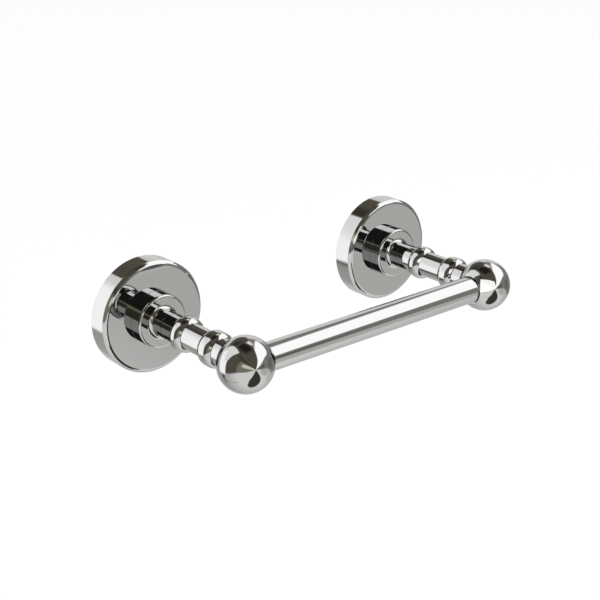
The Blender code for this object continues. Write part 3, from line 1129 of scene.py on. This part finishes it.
@dataclass
class Post(EndPiece):
    """The turned post with its collar, its bead, its ring and the neck next to the ball.

    Attributes:
        radius: radius of the plain stretches.
        bead_radius: radius of the bead's and the ring's land.
        bead_arc: radius of the arcs by which they rise from the post and fall back to it.
        collar_length: length of the collar.
        collar_edge: radius of the collar's front edge.
        foot_fillet: fillet between collar and post.
        fine_edge: radius of crisp edges.
        bead_land: length of the bead's land.
        bead_place_share: where the bead starts between collar and ring.
        ring_land: length of the ring's land.
        neck_length: length of the neck in the CAD piece.
        seat_gap: gap at which touching pieces lie.
        screw_hole: radius of the hole at the wall end.
        screw_hole_depth: depth of that hole.
        stud_hole: radius of the hole at the ball end.
        stud_hole_depth: depth of that hole.
    """

    radius: float = 6.5 * MM
    bead_radius: float = 8.45 * MM
    bead_arc: float = 3.9 * MM
    collar_length: float = 6.6 * MM
    collar_edge: float = 1.1 * MM
    foot_fillet: float = 2.0 * MM
    fine_edge: float = 0.15 * MM
    bead_land: float = 1.15 * MM
    bead_place_share: float = 0.417
    ring_land: float = 2.5 * MM
    neck_length: float = 5.35 * MM
    seat_gap: float = 0.02 * MM
    screw_hole: float = 3.3 * MM
    screw_hole_depth: float = 16.8 * MM
    stud_hole: float = 2.8 * MM
    stud_hole_depth: float = 9.3 * MM

    def __post_init__(self) -> None:
        """Read the outer sizes off the CAD piece."""
        low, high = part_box(self.own("post"))
        self.centre, self.collar_radius, _ = self.round_box("post")
        self.collar_back = self.round_box("rose")[2] + self.seat_gap
        self.collar_face = -high.y + self.collar_length
        self.end = -low.y
        ball_low, ball_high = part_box(self.own("ball"))
        self.ball_radius = (ball_high.z - ball_low.z) / 2
        self.ball_centre = -(ball_low.y + self.ball_radius)

    def outline(self) -> Outline:
        """Give the outline from the screw hole round the collar, bead and ring to the stud hole."""
        rise = 1 - (self.bead_radius - self.radius) / self.bead_arc
        flank = self.bead_arc * math.sqrt(1 - rise ** 2)
        ring = self.end - self.neck_length - self.ring_land - 2 * flank
        bead = self.collar_face + self.bead_place_share * (ring - self.collar_face)
        hole_end = self.collar_back + self.screw_hole_depth
        ball_face = self.ball_centre - math.sqrt(self.ball_radius ** 2 - self.radius ** 2)
        stud_end = self.end - self.stud_hole_depth
        shape = Outline()
        shape.corners([
            Corner(hole_end, 0.0),
            Corner(hole_end, self.screw_hole),
            Corner(self.collar_back, self.screw_hole),
            Corner(self.collar_back, self.collar_radius, self.fine_edge),
            Corner(self.collar_face, self.collar_radius, self.collar_edge),
            Corner(self.collar_face, self.radius, self.foot_fillet),
            Corner(bead - 2 * shape.hold, self.radius),
        ])
        for start, land in ((bead, self.bead_land), (ring, self.ring_land)):
            shape.bead(start, land, self.radius, self.bead_radius, self.bead_arc)
        shape.corners([
            Corner(ball_face - self.seat_gap - self.fine_edge, self.radius),
            Corner(ball_face - self.seat_gap, self.radius - self.fine_edge),
            Corner(self.end, self.radius - (ball_face - self.end)),
            Corner(self.end, self.stud_hole),
            Corner(stud_end, self.stud_hole),
            Corner(stud_end, 0.0),
        ])
        return shape

    def build(self, shop: Workshop) -> None:
        """Make the post.

        Args:
            shop: makes and dresses the pieces.
        """
        placement = Axis.OUT_OF_WALL.matrix(self.centre)
        post = shop.turn(self.own("turned_post"), self.outline(), placement, Facets.TUBE)
        shop.dress(post, CHROME, BRACKETS, self.own("post"))


@dataclass
class Ball(EndPiece):
    """The end ball with the round seat for the bar.

    Attributes:
        seat_radius: radius of the bar's seat.
        seat_floor: distance of the seat's floor from the ball's centre.
        nose_bore: radius of the hole for the plunger's nose, 0 where there is none.
        nose_floor: distance of that hole's end from the ball's centre.
        lip_edge: depth of the chamfer at the seat's lip.
        lip_step_deg: how far from the lip the round of the ball starts.
        ball_steps: facets of that round.
        back_cut: radius of the flat that the post's end covers.
        stud_hole: radius of the stud's hole.
        stud_room: how far that hole runs past the stud.
    """

    seat_radius: float = 6.9 * MM
    seat_floor: float = 8.5 * MM
    nose_bore: float = 0.0
    nose_floor: float = 0.0
    lip_edge: float = 0.15 * MM
    lip_step_deg: float = 1.0
    ball_steps: int = 72
    back_cut: float = 6.4 * MM
    stud_hole: float = 2.8 * MM
    stud_room: float = 0.3 * MM

    def __post_init__(self) -> None:
        """Read the radius and the place off the CAD piece."""
        low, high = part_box(self.own("ball"))
        self.radius = (high.z - low.z) / 2
        post_axis, _, _ = self.round_box("rose")
        self.centre = Vector((post_axis.x, low.y + self.radius, (low.z + high.z) / 2))

    @classmethod
    def for_plunger(cls, side: Side) -> Ball:
        """Give the ball with a deeper seat, and a hole for the plunger's nose."""
        return cls(side, seat_floor=7.0 * MM, nose_bore=2.7 * MM, nose_floor=4.8 * MM)

    def outline(self) -> Outline:
        """Give the outline from the seat's floor over its lip and round the ball."""
        lip_along = math.sqrt(self.radius ** 2 - self.seat_radius ** 2)
        lip_deg = math.degrees(math.atan2(self.seat_radius, lip_along))
        shape = Outline()
        floor = [Corner(self.seat_floor, 0.0)]
        if self.nose_bore:
            floor = [Corner(self.nose_floor, 0.0), Corner(self.nose_floor, self.nose_bore),
                     Corner(self.seat_floor, self.nose_bore)]
        shape.corners(floor + [
            Corner(self.seat_floor, self.seat_radius),
            Corner(lip_along - self.lip_edge, self.seat_radius),
        ])
        shape.arc(0.0, 0.0, self.radius, lip_deg + self.lip_step_deg, 180.0, self.ball_steps)
        return shape

    def build(self, shop: Workshop) -> None:
        """Make the ball and cut its back for post and stud.

        Args:
            shop: makes and dresses the pieces.
        """
        ball = shop.turn(self.own("end_ball"), self.outline(),
                         self.side.inward.matrix(self.centre), Facets.WIDE)
        stud_low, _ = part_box(self.own("ball_stud"))
        flat = -self.centre.y - math.sqrt(self.radius ** 2 - self.back_cut ** 2)
        floor = -stud_low.y + self.stud_room
        round_flat = polygon(self.back_cut, Facets.SMALL)
        round_hole = polygon(self.stud_hole, Facets.SMALL)
        placement = Axis.OUT_OF_WALL.matrix(Vector((self.centre.x, 0.0, self.centre.z)))
        carve(ball, loft("back_cut", [(flat - self.radius, round_flat), (flat, round_flat),
                                      (flat, round_hole), (floor, round_hole)], placement))
        shop.dress(ball, CHROME, BRACKETS, self.own("ball"))


@dataclass
class Bar:
    """The bar's tube.

    Attributes:
        wall: thickness of the tube.
        edge: radius of its outer edges.
    """

    wall: float = 0.8 * MM
    edge: float = 0.3 * MM

    def build(self, shop: Workshop) -> None:
        """Make the tube.

        Args:
            shop: makes and dresses the pieces.
        """
        stock = Stock.of("roller_tube", Axis.RIGHT)
        inside = stock.radius - self.wall
        shape = Outline().corners([
            Corner(0.0, inside + self.wall / 2),
            Corner(0.0, stock.radius, self.edge),
            Corner(stock.end, stock.radius, self.edge),
            Corner(stock.end, inside, self.edge / 3),
            Corner(0.0, inside, self.edge / 3),
            Corner(0.0, inside + self.wall / 3),
        ])
        tube = shop.turn("bar_tube", shape, stock.placement, Facets.TUBE, closed=True)
        shop.dress(tube, CHROME, "roller", "roller_tube")


@dataclass
class BarInside:
    """What the bar's tube holds: a plug at the right, and a sprung plunger with its guide and stop.

    Attributes:
        edge: radius of the moulded edges.
        ribs: number of grip ribs round the plug, the guide and the stop.
        rib_depth: how deep the gaps between ribs are.
        rib_rings: rings of the mesh along them.
        dish: depth of the dish in the ends of plug and stop.
        dish_flat_share: radius of its flat, as a share of the plug's.
        dish_rim_share: radius of its rim, as a share of the plug's.
        seam_share: where the guide's outline ends in its bore, as a share of its length.
        bore: radius of the guide's bore.
        nose: radius of the plunger's nose.
        nose_round: radius of the nose's tip.
        flange: thickness of the plunger's flange.
        flange_radius: radius of that flange.
        tail: radius of the plunger's tail.
        tail_length: length of that tail.
        wire: radius of the spring's wire.
        turns: number of its turns.
        closing: how much closer its end turns lie.
        travel: how much the spring shortens when the bar is pushed aside; not used.
    """

    edge: float = 0.3 * MM
    ribs: int = 12
    rib_depth: float = 0.3 * MM
    rib_rings: int = 16
    dish: float = 0.5 * MM
    dish_flat_share: float = 0.55
    dish_rim_share: float = 0.65
    seam_share: float = 0.6
    bore: float = 2.7 * MM
    nose: float = 2.4 * MM
    nose_round: float = 0.9 * MM
    flange: float = 2.0 * MM
    flange_radius: float = 4.9 * MM
    tail: float = 2.95 * MM
    tail_length: float = 9.0 * MM
    wire: float = 0.45 * MM
    turns: float = 10.0
    closing: float = 0.06
    travel: float = 3.0 * MM

    def _plug(self, shop: Workshop, name: str, node: str) -> None:
        """Make a ribbed plug with a dish in both ends.

        Args:
            shop: makes and dresses the pieces.
            name: the plug's name.
            node: its CAD node.
        """
        stock = Stock.of(node, Axis.RIGHT)
        radius, length = stock.radius, stock.end
        flat, rim = radius * self.dish_flat_share, radius * self.dish_rim_share
        shape = Outline().corners([
            Corner(self.dish, 0.0), Corner(self.dish, flat, self.edge),
            Corner(0.0, rim, self.edge / 2), Corner(0.0, radius, self.edge),
            Corner(2 * self.edge, radius)])
        self._ribbed(shape, stock)
        shape.corners([
            Corner(length - 2 * self.edge, radius), Corner(length, radius, self.edge),
            Corner(length, rim, self.edge / 2), Corner(length - self.dish, flat, self.edge),
            Corner(length - self.dish, 0.0)])
        plug = shop.turn(name, shape, stock.placement, Facets.WIDE, ridges=(self._ribs(stock),))
        shop.dress(plug, NYLON, "roller", node)

    def _ribbed(self, shape: Outline, stock: Stock) -> None:
        """Add the stretch that the ribs are cut into.

        Args:
            shape: the outline.
            stock: the CAD piece.
        """
        shape.run(2 * self.edge, stock.end - 2 * self.edge, stock.radius, stock.end / self.rib_rings)

    def _ribs(self, stock: Stock) -> Ridges:
        """Give the ribs along a moulded piece."""
        return Ridges(2 * self.edge, stock.end - 2 * self.edge, self.rib_depth,
                      stock.radius * RIB_FOOT_SHARE, self.ribs)

    def _guide(self, shop: Workshop) -> None:
        """Make the plunger's ribbed guide.

        Args:
            shop: makes and dresses the pieces.
        """
        stock = Stock.of("plunger_guide", Axis.RIGHT)
        radius, length = stock.radius, stock.end
        shape = Outline().corners([
            Corner(length / 2, self.bore), Corner(0.0, self.bore, self.edge),
            Corner(0.0, radius, self.edge), Corner(2 * self.edge, radius)])
        self._ribbed(shape, stock)
        shape.corners([
            Corner(length - 2 * self.edge, radius), Corner(length, radius, self.edge),
            Corner(length, self.bore, self.edge), Corner(length * self.seam_share, self.bore)])
        guide = shop.turn("plunger_guide_bush", shape, stock.placement, Facets.WIDE, closed=True,
                          ridges=(self._ribs(stock),))
        shop.dress(guide, NYLON, "roller", "plunger_guide")

    def _plunger(self, shop: Workshop) -> None:
        """Make the plunger: nose, flange and tail.

        Args:
            shop: makes and dresses the pieces.
        """
        stock = Stock.of("plunger", Axis.RIGHT)
        length = stock.end
        flange_end = length - self.tail_length
        flange_start = flange_end - self.flange
        shape = Outline().corners([
            Corner(0.0, 0.0), Corner(0.0, self.nose, self.nose_round),
            Corner(flange_start, self.nose, self.edge / 2),
            Corner(flange_start, self.flange_radius, self.edge),
            Corner(flange_end, self.flange_radius, self.edge),
            Corner(flange_end, self.tail, self.edge / 2),
            Corner(length - self.edge, self.tail, self.edge),
            Corner(length, self.tail - 2 * self.edge, self.edge / 2), Corner(length, 0.0)])
        plunger = shop.turn("plunger_pin", shape, stock.placement, Facets.SMALL)
        shop.dress(plunger, NYLON, "plunger", "plunger")

    def _spring(self, shop: Workshop) -> None:
        """Wind the spring at its full length; the real spring shortens towards its left end as the bar is
        pushed aside.

        Args:
            shop: makes and dresses the pieces.
        """
        stock = Stock.of("plunger_spring", Axis.RIGHT)
        spring = added("plunger_coil_spring", bpy.data.meshes.new("plunger_coil_spring"))
        shop.coil_tree.apply(spring, {
            "Wire Radius": self.wire, "Coil Radius": stock.radius - self.wire,
            "Length": stock.end, "Turns": self.turns, "Closing": self.closing,
            "Finish": shop.materials[STEEL.slot]})
        spring.data.transform(stock.placement)
        shop.dress(spring, STEEL, "plunger", "plunger_spring")
        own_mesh(spring)

    def build(self, shop: Workshop) -> None:
        """Make all the pieces in the tube.

        Args:
            shop: makes and dresses the pieces.
        """
        self._plug(shop, "bar_end_plug", "roller_end_plug")
        self._guide(shop)
        self._plunger(shop)
        self._spring(shop)
        self._plug(shop, "spring_stop_plug", "spring_stop")


@dataclass(frozen=True)
class PhotoCamera:
    """The camera that took the photograph.

    Attributes:
        azimuth_deg: its bearing, 0 looking along +Y.
        elevation_deg: its height above the horizon.
        distance: distance from the point that it looks at.
        across: how far that point lies to the right of the origin, as it sees it.
        above: how far that point lies above the origin, as it sees it.
        lens_mm: focal length.
        sensor_mm: width of the sensor.
        clip: nearest and farthest distance that it sees.
    """

    azimuth_deg: float = -40.024
    elevation_deg: float = 21.345
    distance: float = 640.42 * MM
    across: float = 17.336 * MM
    above: float = -12.362 * MM
    lens_mm: float = 75.64
    sensor_mm: float = 36.0
    clip: tuple[float, float] = (0.05, 50.0)

    def build(self) -> None:
        """Make the camera and set it as the scene's."""
        bearing = math.radians(self.azimuth_deg)
        height = math.radians(self.elevation_deg)
        back = Vector((math.sin(bearing) * math.cos(height), -math.cos(bearing) * math.cos(height),
                       math.sin(height)))
        right = (-back).cross(Vector((0.0, 0.0, 1.0))).normalized()
        up = right.cross(-back)
        data = bpy.data.cameras.new("photo_camera")
        data.lens = self.lens_mm
        data.sensor_width = self.sensor_mm
        data.clip_start, data.clip_end = self.clip
        camera = added("photo_camera", data)
        camera.location = right * self.across + up * self.above + back * self.distance
        camera.rotation_euler = (-back).to_track_quat("-Z", "Y").to_euler()
        bpy.context.scene.camera = camera


def shown(red: int, green: int, blue: int) -> Colour:
    """Turn a colour as a screen shows it, in steps of 255, into linear light."""
    return tuple(((step / 255 + 0.055) / 1.055) ** 2.4 for step in (red, green, blue))


class Shade(Enum):
    """How bright each part of the studio shows in the chrome."""

    WHITE = shown(250, 250, 250)
    NEAR_WHITE = shown(238, 238, 238)
    SOFT_WHITE = shown(212, 212, 212)
    LIGHT_GREY = shown(199, 199, 198)
    PALE_GREY = shown(187, 187, 185)
    MIDDLE_GREY = shown(166, 166, 165)
    FACE_GREY = shown(162, 163, 160)
    LOW_GREY = shown(144, 143, 141)
    MID_GREY = shown(113, 112, 109)
    DIM_GREY = shown(96, 94, 90)
    WARM = shown(190, 188, 172)
    BLOB = shown(226, 224, 212)
    OLIVE_GREY = shown(108, 106, 94)
    OLIVE = shown(72, 71, 62)
    BROWN = shown(74, 70, 62)
    DUSK = shown(50, 48, 42)
    OLIVE_BLACK = shown(52, 51, 44)
    BLACK = shown(30, 27, 25)


@dataclass(frozen=True)
class Card:
    """A card or lit panel of the studio, as a soft-edged patch of directions.

    Directions are given by their turn round the wall's normal (0 is +X, 90 is up) and their lean from
    the room side (0 is straight out of the wall, 180 straight into it), both in degrees.

    Attributes:
        outline: the patch's corners, as (turn, lean).
        shade: how bright it is.
        soft: width of its edge in degrees.
        mask: another card that it stays inside.
    """

    outline: tuple[Point, ...]
    shade: Shade
    soft: float = 4.0
    mask: Card | None = None

    def cover(self, turn: np.ndarray, lean: np.ndarray) -> np.ndarray:
        """Say how much of each direction the card covers.

        Args:
            turn: turns in degrees.
            lean: leans in degrees.

        Returns:
            Shares from 0 to 1.
        """
        inside = np.zeros(turn.shape, bool)
        nearest = np.full(turn.shape, 1e9)
        corners = list(self.outline)
        for (t0, l0), (t1, l1) in zip(corners, corners[1:] + corners[:1]):
            run_t, run_l = t1 - t0, l1 - l0
            share = ((turn - t0) * run_t + (lean - l0) * run_l) / (run_t ** 2 + run_l ** 2)
            share = np.clip(share, 0, 1)
            nearest = np.minimum(nearest, np.hypot(turn - t0 - share * run_t, lean - l0 - share * run_l))
            if l0 != l1:
                crosses = (l0 > lean) != (l1 > lean)
                inside ^= crosses & (turn < run_t * (lean - l0) / run_l + t0)
        signed = np.where(inside, nearest, -nearest)
        share = np.clip(signed / self.soft + 0.5, 0, 1)
        return share * share * (3 - 2 * share)

    def cover_all_round(self, turn: np.ndarray, lean: np.ndarray) -> np.ndarray:
        """Say the same for turns on any lap, within the card's mask.

        Args:
            turn: turns in degrees.
            lean: leans in degrees.

        Returns:
            Shares from 0 to 1.
        """
        cover = np.maximum.reduce([self.cover(turn + lap, lean) for lap in (-360.0, 0.0, 360.0)])
        return cover * self.mask.cover_all_round(turn, lean) if self.mask else cover


@dataclass(frozen=True)
class SoftLamp:
    """A soft rectangular lamp.

    Attributes:
        name: its name.
        place: where it stands.
        facing: the direction that it faces.
        size: its width and height.
        power: its power in watts.
        roll_deg: how far it is rolled.
        in_mirrors: True if only mirrors show its light, False if they alone don't.
    """

    name: str
    place: Vector
    facing: Vector
    size: tuple[float, float]
    power: float
    roll_deg: float = 0.0
    in_mirrors: bool = False

    def build(self) -> None:
        """Hang the lamp."""
        data = bpy.data.lights.new(self.name, "AREA")
        data.shape = "RECTANGLE"
        data.size, data.size_y = self.size
        data.energy = self.power
        lamp = added(self.name, data)
        lamp.location = self.place
        roll = Quaternion((0.0, 0.0, 1.0), math.radians(self.roll_deg))
        lamp.rotation_euler = (self.facing.to_track_quat("-Z", "Y") @ roll).to_euler()
        lamp.visible_glossy = self.in_mirrors
        if self.in_mirrors:
            lamp.visible_camera = False
            lamp.visible_diffuse = False
            lamp.visible_transmission = False


@dataclass
class Studio:
    """Floor, world, lamps and the far tent of cards that the chrome reflects.

    Attributes:
        floor_drop: how far the floor lies below the bar.
        floor_size: width of the floor.
        floor_grey: how pale it is.
        floor_glow: strength of the white that the camera sees on it.
        floor_glow_share: share of that white in what the camera sees of it.
        world_light: strength of the light from all round.
        tent_radius: distance of the far cards.
        tent_step_deg: spacing of the tent's points.
        tent_strength: strength of its light, which makes up for what the chrome takes.
        second_contrast: how much a second mirroring deepens the shades.
        second_floor: the least light that it leaves.
        first_depth: the ray's depth up to which light has been mirrored only once.
        large_lamps: name, place and power of the lamps that light the floor and the matt pieces.
        large_lamp_size: width of those lamps.
        near_place: place of the near softbox, from the right ball's centre.
        near_size: its width and height.
        near_facing: the direction that it faces, in which the bar mirrors nothing.
        near_roll_deg: its roll.
        near_light: how bright its face is.
    """

    floor_drop: float = 0.30
    floor_size: float = 14.0
    floor_grey: float = 0.9
    floor_glow: float = 1.06
    floor_glow_share: float = 0.85
    world_light: float = 0.55
    tent_radius: float = 9.0
    tent_step_deg: float = 1.5
    tent_strength: float = 1.76
    second_contrast: float = 2.4
    second_floor: float = 0.011
    first_depth: float = 1.5
    large_lamps: tuple[tuple[str, Place, float], ...] = (
        ("key_lamp", (-0.9, -1.3, 1.6), 22.0), ("fill_lamp", (1.4, -0.9, 0.9), 9.0))
    large_lamp_size: float = 1.4
    near_place: Place = (-25.5 * MM, -75.9 * MM, 29.3 * MM)
    near_size: tuple[float, float] = (118.0 * MM, 62.0 * MM)
    near_facing: Place = (0.866, 0.5, 0.0)
    near_roll_deg: float = 8.0
    near_light: float = 1.5

    def build(self) -> None:
        """Make everything around the object."""
        self._world()
        self._floor()
        self._tent()
        self._near_softbox()
        self._lamps()

    def _world(self) -> None:
        """Make the world white for what sees it, and plain for what it lights."""
        world = bpy.data.worlds.new("studio")
        bpy.context.scene.world = world
        nodes = Nodes.afresh(world)
        path = nodes.node("ShaderNodeLightPath").outputs
        mirrored = nodes.sum("MAXIMUM", path["Is Glossy Ray"], path["Is Transmission Ray"])
        seen = nodes.sum("MAXIMUM", path["Is Camera Ray"], mirrored)
        lit, shown_white = (nodes.node("ShaderNodeBackground", Color=FULL_WHITE, Strength=strength)
                            for strength in (self.world_light, 1.0))
        nodes.node("ShaderNodeOutputWorld", Surface=nodes.blend(seen, lit, shown_white))

    def _floor(self) -> None:
        """Make a pale floor that is white where nothing shades it."""
        half = self.floor_size / 2
        mesh = bpy.data.meshes.new("floor")
        corners = [(x, y, -self.floor_drop)
                   for x, y in ((-half, -half), (half, -half), (half, half), (-half, half))]
        mesh.from_pydata(corners, [], [(0, 1, 2, 3)])
        floor = added("floor", mesh)
        material = bpy.data.materials.new("pale_floor")
        nodes = Nodes.afresh(material)
        seen = nodes.node("ShaderNodeLightPath").outputs["Is Camera Ray"]
        matt = nodes.node("ShaderNodeBsdfDiffuse", Color=(*[self.floor_grey] * 3, 1.0))
        glow = nodes.node("ShaderNodeEmission", Strength=self.floor_glow)
        share = nodes.sum("MULTIPLY", seen, self.floor_glow_share)
        nodes.node("ShaderNodeOutputMaterial", Surface=nodes.blend(share, matt, glow))
        mesh.materials.append(material)
        floor.visible_glossy = False

    def cards(self) -> list[Card]:
        """Give the far cards in order; a later card hides an earlier one."""
        softbox = Card(((107.5, 118), (112, 104), (118, 90), (124, 94), (135, 104),
                        (147, 111), (159, 117), (171, 120), (195, 119), (207, 119),
                        (211, 126), (211, 133), (220, 137), (223, 142), (218, 148),
                        (204, 152), (183, 156), (171, 157), (135, 157), (120, 153),
                        (106, 146), (104.5, 132)), Shade.SOFT_WHITE, 4)
        return [
            Card(((-260, 88), (20, 88), (20, 200), (-260, 200)), Shade.MIDDLE_GREY, 50),
            Card(((-148, 118), (-84, 112), (-80, 170), (-148, 170)), Shade.LOW_GREY, 20),
            Card(((-44, 66), (-10, 54), (-10, 120), (-60, 120)), Shade.MIDDLE_GREY, 22),
            Card(((-43, 20), (-10, 24), (-10, 60), (-34, 57), (-43, 50)),
                 Shade.FACE_GREY, 14),
            Card(((-15, -5), (40, -5), (40, 108), (18, 110), (-4, 112), (-28, 112),
                  (-28, 78), (-17, 56), (-12, 44), (-13, 30)), Shade.MID_GREY, 6),
            Card(((-12, 52), (8, 60), (6, 82), (-20, 82)), Shade.DIM_GREY, 12),
            Card(((-3, 10), (9, 10), (11, 38), (-2, 38)), Shade.OLIVE, 9),
            Card(((5, 111), (28, 116), (34, 124), (36, 140), (40, 150), (80, 154),
                  (96, 156), (190, 160), (230, 190), (0, 190)), Shade.PALE_GREY, 8),
            Card(((38, 96), (60, 84), (75, 96), (62, 122), (48, 126), (34, 116)),
                 Shade.MID_GREY, 8),
            Card(((57, -5), (188, -5), (188, 60), (192, 78), (200, 104), (206, 124),
                  (150, 128), (118, 152), (100, 154), (60, 153), (42, 151),
                  (37, 144), (38, 137), (43, 130), (52, 122), (60, 114),
                  (70, 100), (64, 84), (66, 50)), Shade.BROWN, 7),
            Card(((141, -5), (188, -5), (188, 72), (160, 72), (142, 62)),
                 Shade.OLIVE_GREY, 9),
            Card(((145, 4), (182, 4), (172, 16), (166, 26), (165, 44), (160, 56),
                  (149, 52), (145, 30)), Shade.WARM, 8),
            Card(((136, 14), (141, 14), (138, 60), (130, 86), (123, 86), (130, 50)),
                 Shade.OLIVE_BLACK, 6),
            Card(((76, 70), (104, 70), (108, 88), (104, 112), (82, 112), (74, 90)),
                 Shade.BLACK, 14),
            Card(((76, 118), (102, 118), (102, 140), (80, 140)), Shade.DUSK, 14),
            Card(((60, 93), (69, 93), (72, 108), (60, 112)), Shade.BLOB, 9),
            Card(((26, -5), (58, -5), (61, 17), (61, 32), (64, 45), (67, 62),
                  (66, 74), (60, 84), (55, 94), (48, 103), (40, 111), (34, 107),
                  (26, 95), (20, 85), (19, 72), (25, 59), (28, 40)),
                 Shade.WHITE, 4),
            softbox,
            Card(((98, 138), (120, 140), (130, 156), (98, 156)), Shade.LIGHT_GREY, 9,
                 mask=softbox),
            Card(((170, 108), (205, 110), (216, 130), (224, 150), (136, 158),
                  (130, 146), (130, 140), (150, 136), (164, 131)), Shade.NEAR_WHITE, 14,
                 mask=softbox),
            Card(((215, 123), (229, 123), (231, 132), (219, 136)), Shade.OLIVE, 6),
            Card(((230, 112), (240, 124), (236, 134), (228, 122)), Shade.MID_GREY, 7),
            Card(((226, 80), (229, 80), (230, 114), (227, 114)), Shade.LOW_GREY, 4),
            Card(((-118, 4), (-59, 4), (-58.5, 25), (-60, 40), (-64, 52), (-69, 61),
                  (-78, 70), (-88, 73.5), (-96, 72), (-105, 66), (-112, 53),
                  (-117, 44)), Shade.OLIVE_BLACK, 4),
        ]

    def second_cards(self) -> list[Card]:
        """Give the cards that only light shows that is mirrored more than once."""
        return [
            Card(((-84, 56), (-38, 50), (-38, 104), (-84, 104)), Shade.SOFT_WHITE, 9),
            Card(((155, 34), (186, 34), (186, 62), (150, 62)), Shade.OLIVE_BLACK, 9),
        ]

    def _tent(self) -> None:
        """Hang the tent whose inside carries the far cards, seen by reflections only."""
        turns = np.arange(-180.0, 180.0, self.tent_step_deg)
        leans = np.arange(0.0, 180.0 + self.tent_step_deg / 2, self.tent_step_deg)
        turn, lean = np.meshgrid(turns, leans)
        once = self._painted(np.full((*turn.shape, 3), Shade.LIGHT_GREY.value), self.cards(), turn, lean)
        deepened = self.second_floor + (1 - self.second_floor) * once ** self.second_contrast
        again = self._painted(deepened, self.second_cards(), turn, lean)
        place = self._rays(np.radians(turn), np.radians(lean)) * self.tent_radius
        rows, columns = turn.shape
        faces = [(row * columns + column, row * columns + (column + 1) % columns,
                  (row + 1) * columns + (column + 1) % columns, (row + 1) * columns + column)
                 for row in range(rows - 1) for column in range(columns)]
        mesh = bpy.data.meshes.new("studio_tent")
        mesh.from_pydata(place.reshape(-1, 3).tolist(), [], faces)
        for label, colour in (("once", once), ("again", again)):
            layer = mesh.attributes.new(label, "FLOAT_COLOR", "POINT")
            rgba = np.dstack([colour, np.ones(turn.shape)])
            layer.data.foreach_set("color", rgba.astype(np.float32).ravel())
        mesh.materials.append(self._tent_light())
        tent = added("studio_tent", mesh)
        tent.visible_camera = False
        tent.visible_diffuse = False
        tent.visible_shadow = False
        tent.visible_transmission = False

    def _tent_light(self) -> bpy.types.Material:
        """Make the tent's light, from one colour layer at the first mirroring and one after it."""
        material = bpy.data.materials.new("studio_tent")
        nodes = Nodes.afresh(material)
        once, again = (nodes.node("ShaderNodeAttribute", ("attribute_name", label)).outputs["Color"]
                       for label in ("once", "again"))
        depth = nodes.node("ShaderNodeLightPath").outputs["Ray Depth"]
        colour = nodes.node("ShaderNodeMix", ("data_type", "RGBA"), A=once, B=again,
                            Factor=nodes.sum("GREATER_THAN", depth, self.first_depth))
        glow = nodes.node("ShaderNodeEmission", Color=colour.outputs["Result"],
                          Strength=self.tent_strength)
        nodes.node("ShaderNodeOutputMaterial", Surface=glow.outputs[0])
        return material

    @staticmethod
    def _rays(turn: np.ndarray, lean: np.ndarray) -> np.ndarray:
        """Give directions of length 1 by their turn and lean in radians."""
        return np.stack([np.sin(lean) * np.cos(turn), -np.cos(lean), np.sin(lean) * np.sin(turn)], -1)

    @staticmethod
    def _painted(ground: np.ndarray, cards: list[Card], turn: np.ndarray, lean: np.ndarray) -> np.ndarray:
        """Paint cards in order over a ground.

        Args:
            ground: the colours under the cards.
            cards: the cards; a later one hides an earlier one.
            turn: turns in degrees.
            lean: leans in degrees.

        Returns:
            The painted colours.
        """
        for card in cards:
            cover = card.cover_all_round(turn, lean)[..., None]
            ground = ground + (np.array(card.shade.value) - ground) * cover
        return ground

    def _near_softbox(self) -> None:
        """Stand a small softbox by the right ball, which mirrors show and only from its front."""
        low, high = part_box("right_ball")
        centre = Vector(((low.x + high.x) / 2, low.y + (high.z - low.z) / 2, 0.0))
        power = math.pi * self.near_size[0] * self.near_size[1] * self.near_light
        SoftLamp("near_softbox", centre + Vector(self.near_place), Vector(self.near_facing),
                 self.near_size, power, self.near_roll_deg, in_mirrors=True).build()

    def _lamps(self) -> None:
        """Hang the large soft lamps, which the chrome doesn't show."""
        size = (self.large_lamp_size, self.large_lamp_size)
        for name, place, power in self.large_lamps:
            SoftLamp(name, Vector(place), -Vector(place), size, power).build()


def main() -> None:
    """Load the frame, build every piece and set up the studio."""
    logging.basicConfig(level=logging.INFO, format="%(name)s: %(message)s")
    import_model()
    shop = Workshop()
    PhotoCamera().build()
    for side in Side:
        for sub_assembly in (WallPlate, Rose, GrubScrew, PostFixing, Post, BallStud):
            sub_assembly(side).build(shop)
    Ball.for_plunger(Side.LEFT).build(shop)
    Ball(Side.RIGHT).build(shop)
    Bar().build(shop)
    BarInside().build(shop)
    Studio().build()
    bpy.context.scene.view_settings.view_transform = "Standard"


if __name__ == "__main__":
    main()
